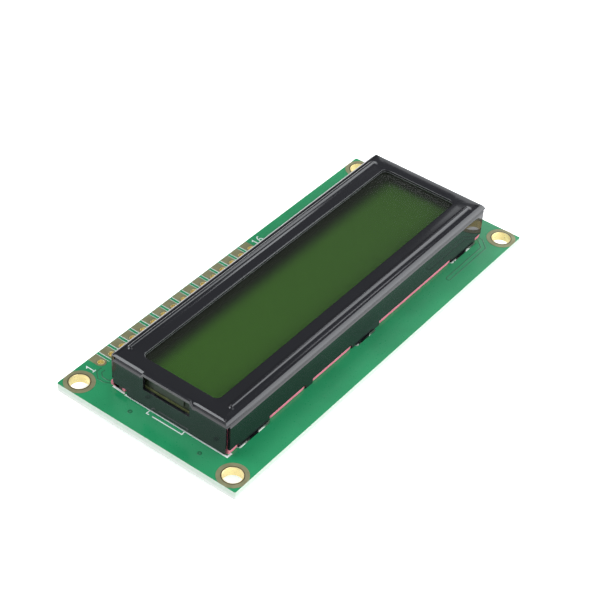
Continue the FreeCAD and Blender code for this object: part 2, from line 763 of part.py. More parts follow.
def make_backlight_tray():
    body = new_body("backlight_tray")
    place(body, "sizes.bezel_shift_x", "sizes.bezel_shift_y", BOARD_TOP)
    outline = new_sketch(body, "tray_outline")
    centred_rectangle(outline, TRAY_LENGTH, TRAY_WIDTH)
    pad(body, outline, "tray_block", DIFFUSER_Z)
    well = new_sketch(body, "well_outline", height=DIFFUSER_Z)
    centred_rectangle(
        well, f"({TRAY_LENGTH} - 2 * sizes.tray_wall)", f"({TRAY_WIDTH} - 2 * sizes.tray_wall)"
    )
    pocket(body, well, "well", f"{DIFFUSER_Z} - sizes.tray_floor")
    leads = new_sketch(body, "lead_holes")
    for side in (-1, 1):
        circle(leads, TERMINAL_X, f"{side} * sizes.terminal_spacing / 2", TERMINAL_HOLE)
    pocket(body, leads, "lead_drill")


def make_light_sources():
    guide_x = f"(-{TRAY_LENGTH} / 2 + sizes.tray_wall + sizes.guide_gap + {GUIDE_LENGTH} / 2)"
    inside("diffuser_sheet", TRAY_LENGTH, TRAY_WIDTH, "sizes.diffuser_thickness", DIFFUSER_Z)
    inside("light_guide", GUIDE_LENGTH, GUIDE_WIDTH, "sizes.guide_thickness", GUIDE_Z, guide_x)
    inside(
        "reflector_film", GUIDE_LENGTH, GUIDE_WIDTH, "sizes.reflector_thickness", REFLECTOR_Z,
        guide_x,
    )
    board_height = f"({DIFFUSER_Z} - {REFLECTOR_Z})"
    inside(
        "led_board",
        "sizes.led_board_thickness",
        LED_BOARD_LENGTH,
        board_height,
        REFLECTOR_Z,
        TERMINAL_X,
    )
    row = new_body("backlight_leds")
    place(
        row,
        f"sizes.bezel_shift_x + {LED_BOARD_X} - sizes.led_depth",
        "sizes.bezel_shift_y",
        f"{BOARD_TOP} + {REFLECTOR_Z} + {board_height} / 2 - sizes.led_height / 2",
    )
    first = "(-(sizes.led_count - 1) * sizes.led_pitch / 2)"
    lamp = new_sketch(row, "led_outline")
    half = "sizes.led_length / 2"
    rectangle(lamp, "0", f"{first} - {half}", "sizes.led_depth", f"{first} + {half}")
    pad(row, lamp, "led_package", "sizes.led_height")
    length = "(sizes.led_count - 1) * sizes.led_pitch"
    row_of(row, "led_row", "Y_Axis", length, "sizes.led_count")


def make_terminals():
    """Two leads from the lamp board down through the circuit board, and their solder."""
    leads = new_body("backlight_terminals")
    joints = new_body("terminal_solder_joints")
    for body in (leads, joints):
        place(body, f"sizes.bezel_shift_x + {TERMINAL_X}", "sizes.bezel_shift_y", BOARD_BOTTOM)
    wire = new_sketch(leads, "lead_outline", height="-sizes.terminal_reach")
    first = "-sizes.terminal_spacing / 2"
    circle(wire, "0", first, "sizes.terminal_diameter")
    run = f"sizes.terminal_reach + sizes.board_thickness + {REFLECTOR_Z}"
    pad(leads, wire, "lead", run)
    row_of(leads, "lead_pair", "Y_Axis", "sizes.terminal_spacing", "2")
    cone = new_sketch(joints, "cone_profile", "YZ_Plane")
    bore = f"{first} + sizes.terminal_diameter / 2"
    foot = f"{first} + sizes.terminal_joint_diameter / 2"
    polygon(cone, [(bore, "0"), (foot, "0"), (bore, "-sizes.terminal_joint_height")])
    axis = cone.addGeometry(
        Part.LineSegment(
            FreeCAD.Vector(number(first), 0, 0), FreeCAD.Vector(number(first), 1, 0)
        ),
        True,
    )
    hold(cone, axis, 1, first, "0")
    hold(cone, axis, 2, first, "1")
    turn_profile(joints, cone, "solder_cone", "Axis0")
    row_of(joints, "joint_pair", "Y_Axis", "sizes.terminal_spacing", "2")


# Chips under the board


def make_covered_chip(name, side):
    """A bare silicon die on the underside, under a low dome of black resin."""
    block(
        f"{name}_die",
        "sizes.die_side",
        "sizes.die_side",
        "sizes.die_thickness",
        f"{side} * sizes.cover_spacing / 2",
        "0",
        f"{BOARD_BOTTOM} - sizes.die_thickness",
    )
    cover = new_body(f"{name}_cover")
    place(cover, f"{side} * sizes.cover_spacing / 2", z=BOARD_BOTTOM)
    profile = new_sketch(cover, "dome_profile", "XZ_Plane")
    radius, height = "sizes.cover_diameter / 2", "-sizes.cover_height"
    polygon(
        profile,
        [
            ("0", "0"),
            (radius, "0"),
            (radius, "-sizes.cover_rim"),
            ("sizes.cover_shoulder_diameter / 2", "-sizes.cover_shoulder_height"),
            ("sizes.cover_crown_diameter / 2", height),
            ("0", height),
        ],
    )
    turn_profile(cover, profile, "dome", "V_Axis")
    bed = new_sketch(cover, "die_outline")
    centred_rectangle(bed, "sizes.die_side", "sizes.die_side")
    pocket(cover, bed, "die_bed", "sizes.die_thickness")


def chip_places():
    """Name, place and quarter turns of each chip on the underside."""
    places = [
        (f"ladder_resistor_{n + 1}", "0",
         f"({n} - (sizes.ladder_count - 1) / 2) * sizes.ladder_pitch", 0)
        for n in range(int(number("sizes.ladder_count")))
    ]
    timing_x, lamp_x = "sizes.timing_chips_x", "sizes.lamp_chips_x"
    places.append(("oscillator_resistor", timing_x, "sizes.oscillator_y", 1))
    places.append(("supply_capacitor", timing_x, "sizes.capacitor_y", 1))
    places.append(("backlight_resistor_1", lamp_x, "sizes.lamp_chip_1_y", 0))
    places.append(("backlight_resistor_2", lamp_x, "sizes.lamp_chip_2_y", 0))
    return places


def make_chips():
    """Chip resistors and a capacitor, with a wedge of solder at each end."""
    wedges = []
    for name, x, y, turns in chip_places():
        along, across = "sizes.chip_length", "sizes.chip_width"
        length, width = (across, along) if turns else (along, across)
        level = f"{BOARD_BOTTOM} - sizes.chip_height"
        block(name, length, width, "sizes.chip_height", x, y, level)
        for side in (-1, 1):
            wedges.append(make_wedge(f"{name}_solder", x, y, turns, side))
    joints = doc.addObject("Part::Compound", "chip_solder_joints")
    joints.Label = "chip_solder_joints"
    joints.Links = wedges
    doc.recompute()


def make_wedge(name, x, y, turns, side):
    """A wedge of solder from the board down to the end face of a chip."""
    wedge = doc.addObject("Part::Wedge", name)
    left, right = "-sizes.chip_width / 2", "sizes.chip_width / 2"
    bind(wedge, Xmin="0", Xmax="sizes.chip_joint_length", Zmin=left, Zmax=right)
    bind(wedge, X2min="0", X2max="sizes.chip_joint_toe", Z2min=left, Z2max=right)
    bind(wedge, Ymin="0", Ymax="sizes.chip_joint_height")
    heading = (0 if side > 0 else 180) + 90 * turns
    down = FreeCAD.Rotation(FreeCAD.Vector(1, 0, 0), -90)
    wedge.Placement.Rotation = FreeCAD.Rotation(FreeCAD.Vector(0, 0, 1), heading) * down
    end = f"{side} * sizes.chip_length / 2"
    place(wedge, x if turns else f"{x} + {end}", f"{y} + {end}" if turns else y, BOARD_BOTTOM)
    return wedge


# The finished module

make_circuit_board()
make_bezel_frame()
make_glass_cell()
make_connectors()
make_backlight_tray()
make_light_sources()
make_terminals()
for chip, side in (("controller", -1), ("driver", 1)):
    make_covered_chip(chip, side)
make_chips()
doc.recompute()

for item in doc.Objects:
    if "Invalid" in item.State or "Error" in item.State:
        raise RuntimeError(f"{item.Label} did not build: {item.State}")


def is_piece(item):
    """Whether a document object is one of the module's own pieces."""
    return item.TypeId in ("PartDesign::Body", "Part::Compound", "Part::Box")


os.makedirs("parts", exist_ok=True)
for item in doc.Objects:
    if not is_piece(item):
        continue
    if item.Shape.isNull() or not item.Shape.isValid():
        raise RuntimeError(f"{item.Label} has no valid shape")
    item.Shape.exportStep(f"parts/{item.Label}.step")
    box = item.Shape.BoundBox
    print(
        f"{item.Label}: {len(item.Shape.Solids)} solid(s), {item.Shape.Volume:.3f} mm3,"
        f" z {box.ZMin:.2f} to {box.ZMax:.2f}"
    )
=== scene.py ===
"""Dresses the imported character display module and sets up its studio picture."""

import logging
import math
from dataclasses import dataclass
from enum import Enum
from typing import Sequence

import bmesh
import bpy
from mathutils import Matrix, Vector


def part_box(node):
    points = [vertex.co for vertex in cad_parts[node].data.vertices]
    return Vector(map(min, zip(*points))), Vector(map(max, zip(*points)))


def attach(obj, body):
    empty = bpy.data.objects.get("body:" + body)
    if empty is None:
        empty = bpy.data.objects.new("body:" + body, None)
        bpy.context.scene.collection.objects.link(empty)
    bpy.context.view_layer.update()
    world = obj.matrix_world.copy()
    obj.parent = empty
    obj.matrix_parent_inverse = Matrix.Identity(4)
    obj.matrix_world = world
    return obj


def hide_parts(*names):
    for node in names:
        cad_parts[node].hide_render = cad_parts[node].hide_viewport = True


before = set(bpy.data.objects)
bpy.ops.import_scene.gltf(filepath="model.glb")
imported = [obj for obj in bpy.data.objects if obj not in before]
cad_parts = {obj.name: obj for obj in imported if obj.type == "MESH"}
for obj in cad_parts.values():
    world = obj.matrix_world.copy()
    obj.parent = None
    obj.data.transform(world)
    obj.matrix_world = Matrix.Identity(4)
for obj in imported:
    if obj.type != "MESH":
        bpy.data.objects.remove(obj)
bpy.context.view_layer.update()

LOG = logging.getLogger("display_module")

# A millimetre in metres
MM = 0.001
# Thickness of the copper and the least difference that counts, in millimetres
COPPER = 0.05
HAIR = 1e-6
Point = tuple[float, float]
Colour = tuple[float, float, float]
Net = bmesh.types.BMesh
Vert = bmesh.types.BMVert
Face = bmesh.types.BMFace
Material = bpy.types.Material


def box_mm(node: str) -> tuple[Vector, Vector]:
    """Lowest and highest corner of a CAD node in millimetres.

    Args:
        node: name of the node.

    Returns:
        The two corners.
    """
    low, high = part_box(node)
    return low / MM, high / MM


def middle_mm(node: str) -> Vector:
    """Middle of a CAD node in millimetres."""
    low, high = box_mm(node)
    return (low + high) / 2


def board_faces() -> Point:
    """Levels of the laminate's two faces, without their copper."""
    low, high = box_mm("circuit_board")
    return low.z + COPPER, high.z - COPPER


# Shader expressions


class Value:
    """One output socket of a material's tree, with arithmetic that adds Math nodes."""

    def __init__(self, tree: "Tree", socket: bpy.types.NodeSocket) -> None:
        """Wraps a socket.

        Args:
            tree: the tree that owns it.
            socket: the output that carries the value.
        """
        self.tree = tree
        self.socket = socket

    def _maths(self, operation: str, *others: "Value | float") -> "Value":
        """Adds a Math node.

        Args:
            operation: Blender's name of the operation.
            others: the operands after this one.

        Returns:
            The node's result.
        """
        sockets = dict(enumerate((self, *others)))
        return self.tree.add("ShaderNodeMath", {"operation": operation}, sockets)

    def _flipped(self, operation: str, first: float) -> "Value":
        """Adds a Math node whose first operand is a plain number."""
        settings = {"operation": operation}
        return self.tree.add("ShaderNodeMath", settings, {0: first, 1: self})

    def __add__(self, other: "Value | float") -> "Value":
        """Sum."""
        return self._maths("ADD", other)

    def __radd__(self, other: float) -> "Value":
        """Sum with a number first."""
        return self._flipped("ADD", other)

    def __sub__(self, other: "Value | float") -> "Value":
        """Difference."""
        return self._maths("SUBTRACT", other)

    def __rsub__(self, other: float) -> "Value":
        """Difference from a number."""
        return self._flipped("SUBTRACT", other)

    def __mul__(self, other: "Value | float") -> "Value":
        """Product."""
        return self._maths("MULTIPLY", other)

    def __rmul__(self, other: float) -> "Value":
        """Product with a number first."""
        return self._flipped("MULTIPLY", other)

    def __gt__(self, other: "Value | float") -> "Value":
        """One where this is the larger, otherwise zero."""
        return self._maths("GREATER_THAN", other)

    def __lt__(self, other: "Value | float") -> "Value":
        """One where this is the smaller, otherwise zero."""
        return self._maths("LESS_THAN", other)

    def size(self) -> "Value":
        """Absolute value."""
        return self._maths("ABSOLUTE")

    def wave(self, pitch_mm: float) -> "Value":
        """Sine of a place in millimetres, which repeats at every pitch."""
        return (self * (2 * math.pi / pitch_mm))._maths("SINE")

    def clamp(self) -> "Value":
        """The value kept between zero and one."""
        settings = {"operation": "ADD", "use_clamp": True}
        return self.tree.add("ShaderNodeMath", settings, {0: self, 1: 0.0})

    def step(self, start: float, end: float) -> "Value":
        """Smooth rise from zero to one between two values.

        Args:
            start: where the rise starts.
            end: where it is complete; it may be the smaller.

        Returns:
            The rise.
        """
        settings = {"interpolation_type": "SMOOTHSTEP"}
        return self.tree.add("ShaderNodeMapRange", settings, {0: self, 1: start, 2: end})

    def around(self, middle: float, swing: float) -> "Value":
        """A roughness that swings about its middle as this noise does."""
        return (middle + (self - 0.5) * swing).clamp()


Socketed = Value | float | Colour


class Tree:
    """The node tree of one material or world."""

    def __init__(self, name: str, world: bool = False) -> None:
        """Makes an empty tree.

        Args:
            name: the name of its material or world.
            world: whether it is a world's tree.
        """
        self.owner = (bpy.data.worlds if world else bpy.data.materials).new(name)
        self.owner.use_nodes = True
        self.nodes = self.owner.node_tree.nodes
        self.links = self.owner.node_tree.links
        self.nodes.clear()

    def add(
        self,
        kind: str,
        settings: dict[str, object] | None = None,
        sockets: dict[int | str, Socketed] | None = None,
        output: int | str = 0,
    ) -> Value:
        """Adds a node of any type.

        Args:
            kind: Blender's name of the node's type.
            settings: properties that are set first.
            sockets: values or links of the inputs, by place or name.
            output: which output is wanted.

        Returns:
            That output.
        """
        node = self.nodes.new(kind)
        for key, setting in (settings or {}).items():
            setattr(node, key, setting)
        for key, wanted in (sockets or {}).items():
            self.feed(node.inputs[key], wanted)
        return Value(self, node.outputs[output])

    def feed(self, socket: bpy.types.NodeSocket, wanted: Socketed) -> None:
        """Links a value to a socket, or sets the socket's own number or colour.

        Args:
            socket: the input.
            wanted: a value, a number or a colour.
        """
        if isinstance(wanted, Value):
            self.links.new(wanted.socket, socket)
        elif isinstance(wanted, tuple) and len(socket.default_value) == 4:
            socket.default_value = (*wanted, 1.0)
        else:
            socket.default_value = wanted

    def place(self) -> Value:
        """Position on the object in metres."""
        return self.add("ShaderNodeTexCoord", output="Object")

    def axes(self) -> tuple[Value, Value, Value]:
        """Position on the object in millimetres.

        Returns:
            Its three coordinates.
        """
        split = self.add("ShaderNodeSeparateXYZ", sockets={0: self.place()})
        outputs = split.socket.node.outputs
        return tuple(Value(self, outputs[n]) * (1 / MM) for n in range(3))

    def noise(self, size_mm: float, detail: float = 3.0, stretch: Colour = (1, 1, 1)) -> Value:
        """Soft noise from zero to one.

        Args:
            size_mm: size of its features.
            detail: number of finer layers.
            stretch: factors by which each axis is squeezed.

        Returns:
            The noise.
        """
        spread = {"operation": "MULTIPLY"}
        at = self.add("ShaderNodeVectorMath", spread, {0: self.place(), 1: stretch})
        sockets = {"Vector": at, "Scale": 1 / (size_mm * MM), "Detail": detail}
        return self.add("ShaderNodeTexNoise", {"normalize": True}, sockets)

    def blend(self, share: Value | float, first: Socketed, second: Socketed) -> Value:
        """Mixes two colours.

        Args:
            share: how much of the second shows.
            first: a colour or a value.
            second: a colour or a value.

        Returns:
            The mixed colour.
        """
        node = self.nodes.new("ShaderNodeMix")
        node.data_type = "RGBA"
        self.feed(node.inputs["Factor"], share)
        self.feed(node.inputs[6], first)
        self.feed(node.inputs[7], second)
        return Value(self, node.outputs[2])

    def bump(self, height: Value, depth_mm: float) -> Value:
        """A normal from a height field.

        Args:
            height: the field, from zero to one.
            depth_mm: real depth between zero and one.

        Returns:
            The normal.
        """
        sockets = {"Strength": 1.0, "Distance": depth_mm * MM, "Height": height}
        return self.add("ShaderNodeBump", sockets=sockets)

    def finish(self, **sockets: Socketed) -> Material:
        """Adds the Principled shader and the output.

        Args:
            sockets: its inputs, with underscores for spaces.

        Returns:
            The material.
        """
        named = {key.replace("_", " "): wanted for key, wanted in sockets.items()}
        shader = self.add("ShaderNodeBsdfPrincipled", sockets=named)
        end = self.nodes.new("ShaderNodeOutputMaterial")
        self.feed(end.inputs["Surface"], shader)
        return self.owner


# Finishes


@dataclass(frozen=True)
class Plain:
    """A moulded, poured or cast surface with cloudy colour and a fine skin."""

    name: str
    colour: Colour
    shade: Colour
    rough: float = 0.45
    cloud_mm: float = 3.0
    grain_mm: float = 0.25
    grain_depth_mm: float = 0.01
    swing: float = 0.16
    coat: float = 0.0
    coat_rough: float = 0.08
    alpha: float = 1.0

    def build(self) -> Material:
        """Makes the material.

        Returns:
            The material.
        """
        tree = Tree(self.name)
        cloud = tree.noise(self.cloud_mm)
        grain = tree.noise(self.grain_mm, 4.0)
        return tree.finish(
            Base_Color=tree.blend(cloud.step(0.3, 0.7), self.colour, self.shade),
            Roughness=grain.around(self.rough, self.swing),
            Coat_Weight=self.coat,
            Coat_Roughness=self.coat_rough,
            Alpha=self.alpha,
            Normal=tree.bump(grain, self.grain_depth_mm),
        )


@dataclass(frozen=True)
class SolderMask:
    """Glossy green lacquer over a woven laminate."""

    name: str = "solder_mask"
    colour: Colour = (0.016, 0.33, 0.126)
    deep: Colour = (0.012, 0.262, 0.100)
    weave_mm: float = 0.55
    cloud_mm: float = 9.0
    dust_mm: float = 0.35
    rough: float = 0.3
    # Weight and roughness of the clear coat
    coat: Point = (0.35, 0.12)
    relief_mm: float = 0.006

    def build(self) -> Material:
        """Makes the material.

        Returns:
            The material.
        """
        tree = Tree(self.name)
        x, y, _ = tree.axes()
        weave = (x.wave(self.weave_mm) * y.wave(self.weave_mm) + 1.0) * 0.5
        cloud = tree.noise(self.cloud_mm, 4.0)
        dust = tree.noise(self.dust_mm, 2.0)
        tone = (cloud.step(0.3, 0.72) * 0.8 + weave * 0.2).clamp()
        return tree.finish(
            Base_Color=tree.blend(tone, self.colour, self.deep),
            Roughness=dust.around(self.rough, 0.14),
            Coat_Weight=self.coat[0],
            Coat_Roughness=self.coat[1],
            Normal=tree.bump(weave * 0.35 + dust * 0.65, self.relief_mm),
        )


@dataclass(frozen=True)
class CutLaminate:
    """Sawn edge of glass-fibre board, with its plies showing as fine lines and its lower part
    painted pale as painted light.
    """

    colour: Colour = (0.74, 0.84, 0.74)
    ply: Colour = (0.56, 0.68, 0.56)
    # Pale colour painted on the lower part of the edge as painted light
    foot: Colour = (0.90, 0.92, 0.88)
    # Levels between which the pale colour of painted light takes over towards the bottom
    painted_light_levels_mm: Point = (2.5, 1.7)
    ply_mm: float = 0.2
    fibre_mm: float = 0.5
    rough: float = 0.62
    relief_mm: float = 0.03

    def build(self) -> Material:
        """Makes the material.

        Returns:
            The material.
        """
        tree = Tree("cut_laminate")
        _, _, z = tree.axes()
        ply = (z.wave(self.ply_mm) + 1.0) * 0.5
        fibre = tree.noise(self.fibre_mm, 4.0, (1.0, 1.0, 5.0))
        tone = (ply * 0.35 + fibre.step(0.35, 0.75) * 0.65).clamp()
        cut = tree.blend(tone, self.colour, self.ply)
        # Painted light: the edge turns pale towards its lower face
        return tree.finish(
            Base_Color=tree.blend(z.step(*self.painted_light_levels_mm) * 0.8, cut, self.foot),
            Roughness=self.rough,
            Normal=tree.bump(fibre, self.relief_mm),
        )


@dataclass(frozen=True)
class Plating:
    """Thin metal plating, tarnished in patches."""

    name: str
    bright: Colour
    tarnish: Colour
    rough: float = 0.34
    metal: float = 0.9
    streaks: float = 1.0
    patch_mm: float = 1.6
    brush_mm: float = 0.16

    def build(self) -> Material:
        """Makes the material.

        Returns:
            The material.
        """
        tree = Tree(self.name)
        patch = tree.noise(self.patch_mm)
        brush = tree.noise(self.brush_mm, 3.0, (1.0, 1.0 / self.streaks, 1.0))
        tone = (patch.step(0.3, 0.7) * 0.5 + brush * 0.5).clamp()
        return tree.finish(
            Base_Color=tree.blend(tone, self.bright, self.tarnish),
            Metallic=self.metal,
            Roughness=brush.around(self.rough, 0.2),
            Normal=tree.bump(brush, 0.003),
        )


@dataclass(frozen=True)
class BezelCoat:
    """Smooth satin black coat on pressed steel, a little worn along its edges, with a painted
    highlight along the foot of the window's cut edge.
    """

    window_low: Point
    window_high: Point
    glint_top: float
    colour: Colour = (0.0075, 0.0078, 0.0105)
    worn: Colour = (0.035, 0.037, 0.045)
    # Light grey painted on the lowest band of the window's cut edge as a painted highlight
    painted_glint: Colour = (0.17, 0.18, 0.18)
    patch_mm: float = 7.0
    rough: float = 0.11
    refraction: float = 1.58

    def build(self) -> Material:
        """Makes the material.

        Returns:
            The material.
        """
        tree = Tree("bezel_coat")
        patch = tree.noise(self.patch_mm, 4.0)
        point = tree.add("ShaderNodeNewGeometry", output="Pointiness")
        edge = point.step(0.53, 0.60) * patch.step(0.45, 0.7)
        x, y, z = tree.axes()
        # Painted highlight: the lowest band of the window's cut edge turns light grey
        cut = (z < self.glint_top) * (x > self.window_low[0]) * (x < self.window_high[0])
        cut = cut * (y > self.window_low[1]) * (y < self.window_high[1])
        coat = tree.blend((edge * 0.4 + patch * 0.12).clamp(), self.colour, self.worn)
        return tree.finish(
            Base_Color=tree.blend(cut, coat, self.painted_glint),
            Roughness=patch.around(self.rough, 0.04),
            IOR=self.refraction,
        )


@dataclass(frozen=True)
class Silicone:
    """Elastomer connector: pink skins on a dark core with fine conducting layers."""

    middle_mm: float
    core_mm: float
    pitch_mm: float = 0.1
    cloud_mm: float = 1.2
    rough: float = 0.5
    rubber: tuple[Colour, Colour] = ((0.012, 0.010, 0.011), (0.16, 0.07, 0.075))
    pinks: tuple[Colour, Colour] = ((0.84, 0.22, 0.30), (0.93, 0.30, 0.39))

    def build(self) -> Material:
        """Makes the material.

        Returns:
            The material.
        """
        tree = Tree("elastomer")
        x, y, _ = tree.axes()
        skin = (y - self.middle_mm).size().step(self.core_mm / 2, self.core_mm / 2 + 0.05)
        layers = x.wave(self.pitch_mm).step(-0.4, 0.4)
        core = tree.blend(layers * 0.6, *self.rubber)
        cloud = tree.noise(self.cloud_mm)
        pink = tree.blend(cloud, *self.pinks)
        return tree.finish(
            Base_Color=tree.blend(skin, core, pink),
            Roughness=self.rough,
            Normal=tree.bump(cloud, 0.01),
        )


@dataclass(frozen=True)
class DisplayField:
    """The green reflecting layer seen through the polariser, with painted shadow under its far
    edges.
    """

    low_x: float
    high_x: float
    high_y: float
    # How far outside and inside its edges the painted shadow fades
    shadow_fade_x: Point = (0.8, 1.6)
    shadow_fade_y: Point = (0.6, 3.5)
    near: Colour = (0.108, 0.39, 0.012)
    far: Colour = (0.118, 0.355, 0.034)
    speck: Colour = (0.08, 0.25, 0.03)
    # Near-black colour of the painted shadow under the bezel's lip
    painted_shadow: Colour = (0.004, 0.007, 0.003)
    cloud_mm: float = 14.0
    speck_mm: float = 0.3
    rough: float = 0.7

    def build(self) -> Material:
        """Makes the material.

        Returns:
            The material.
        """
        tree = Tree("display_field")
        x, y, _ = tree.axes()
        along = x.step(self.low_x, self.high_x)
        cloud = tree.noise(self.cloud_mm, 2.0)
        fine = tree.noise(self.speck_mm, 2.0)
        tone = (along * 0.8 + cloud * 0.2).clamp()
        colour = tree.blend(tone, self.near, self.far)
        speckled = tree.blend(fine * 0.12, colour, self.speck)
        # Painted shadow: the field darkens towards the window's far long edge and its far end
        outside_shadow = y.step(self.high_y + self.shadow_fade_y[0], self.high_y - self.shadow_fade_y[1])
        outside_shadow = outside_shadow * x.step(self.high_x + self.shadow_fade_x[0], self.high_x - self.shadow_fade_x[1])
        return tree.finish(
            Base_Color=tree.blend(outside_shadow, self.painted_shadow, speckled),
            Roughness=self.rough,
            Normal=tree.bump(fine, 0.01),
        )


class Finishes:
    """Every material of the module, built once."""

    # How far past the window's outline and how high up its cut edge the painted highlight reaches
    glint_reach: float = 0.1
    glint_rise: float = 0.12

    def __init__(self) -> None:
        """Builds them from the frame's sizes."""
        frame_low, frame_high = box_mm("bezel_frame")
        middle = (frame_low + frame_high) / 2
        half_x, half_y = Bezel.window[0] / 2, Bezel.window[1] / 2
        self.mask = SolderMask().build()
        self.track = SolderMask(
            "tracked_mask", (0.010, 0.150, 0.062), (0.008, 0.125, 0.052)
        ).build()
        self.edge = CutLaminate().build()
        self.gold = Plating(
            "plated_pad", (0.36, 0.355, 0.20), (0.23, 0.225, 0.12), 0.42, 0.35, 4.0
        ).build()
        self.barrel = Plating(
            "plated_hole", (0.97, 0.86, 0.46), (0.90, 0.74, 0.34), 0.3, 0.5
        ).build()
        self.rim = Plating("hole_rim", (0.16, 0.12, 0.06), (0.07, 0.05, 0.03), 0.4, 0.6).build()
        self.solder = Plating("solder", (0.72, 0.72, 0.73), (0.48, 0.48, 0.50), 0.3).build()
        self.tin = Plating("tinned_wire", (0.78, 0.77, 0.74), (0.55, 0.54, 0.52), 0.25).build()
        self.ink = Plain("white_ink", (0.84, 0.92, 0.89), (0.76, 0.84, 0.81), 0.5).build()
        reach_x, reach_y = half_x + self.glint_reach, half_y + self.glint_reach
        self.coat = BezelCoat(
            (middle.x - reach_x, middle.y - reach_y),
            (middle.x + reach_x, middle.y + reach_y),
            frame_high.z - Bezel.bead_height - Bezel.sheet + self.glint_rise,
        ).build()
        self.field = DisplayField(
            middle.x - half_x, middle.x + half_x, middle.y + half_y
        ).build()
        self.film = Plain(
            "polariser_film", (0.022, 0.026, 0.018), (0.019, 0.024, 0.016), 0.1,
            20.0, 18.0, 0.0005, alpha=0.34,
        ).build()
        self.pane = Plain(
            "glass_edge", (0.014, 0.022, 0.009), (0.010, 0.016, 0.007), 0.3, 2.0, 0.3, 0.004
        ).build()
        self.resin = Plain(
            "black_resin", (0.006, 0.006, 0.007), (0.011, 0.011, 0.012), 0.22, 2.5, 0.9, 0.05,
            coat=0.4,
        ).build()
        self.white = Plain("white_moulding", (0.78, 0.78, 0.74), (0.70, 0.70, 0.66)).build()
        self.milky = Plain(
            "diffuser_sheet", (0.22, 0.25, 0.11), (0.17, 0.20, 0.085), 0.4, 1.5, 0.2, 0.01
        ).build()
        self.acrylic = Plain(
            "clear_acrylic", (0.62, 0.72, 0.50), (0.55, 0.66, 0.44), 0.15, 4.0, 0.3, 0.003,
            alpha=0.6,
        ).build()
        # Near-black resin of the seal and the filling port's plug; the seal's dark also stands in
        # for the shade under the window's far lip
        self.shaded_resin = Plain("seal_resin", (0.012, 0.018, 0.009), (0.018, 0.026, 0.012), 0.4).build()
        self.lamp = Plain("lamp_lens", (0.80, 0.74, 0.36), (0.70, 0.62, 0.28), 0.25).build()
        self.silicon = Plain("silicon", (0.08, 0.08, 0.09), (0.05, 0.05, 0.06), 0.15).build()
        self.glaze = Plain(
            "chip_glaze", (0.010, 0.010, 0.011), (0.018, 0.018, 0.019), 0.25, 0.6, 0.2, 0.008
        ).build()
        self.ceramic = Plain("white_ceramic", (0.72, 0.72, 0.70), (0.62, 0.62, 0.60)).build()
        self.tan = Plain("tan_ceramic", (0.36, 0.25, 0.14), (0.29, 0.20, 0.11), 0.4, 0.8).build()


# Meshes


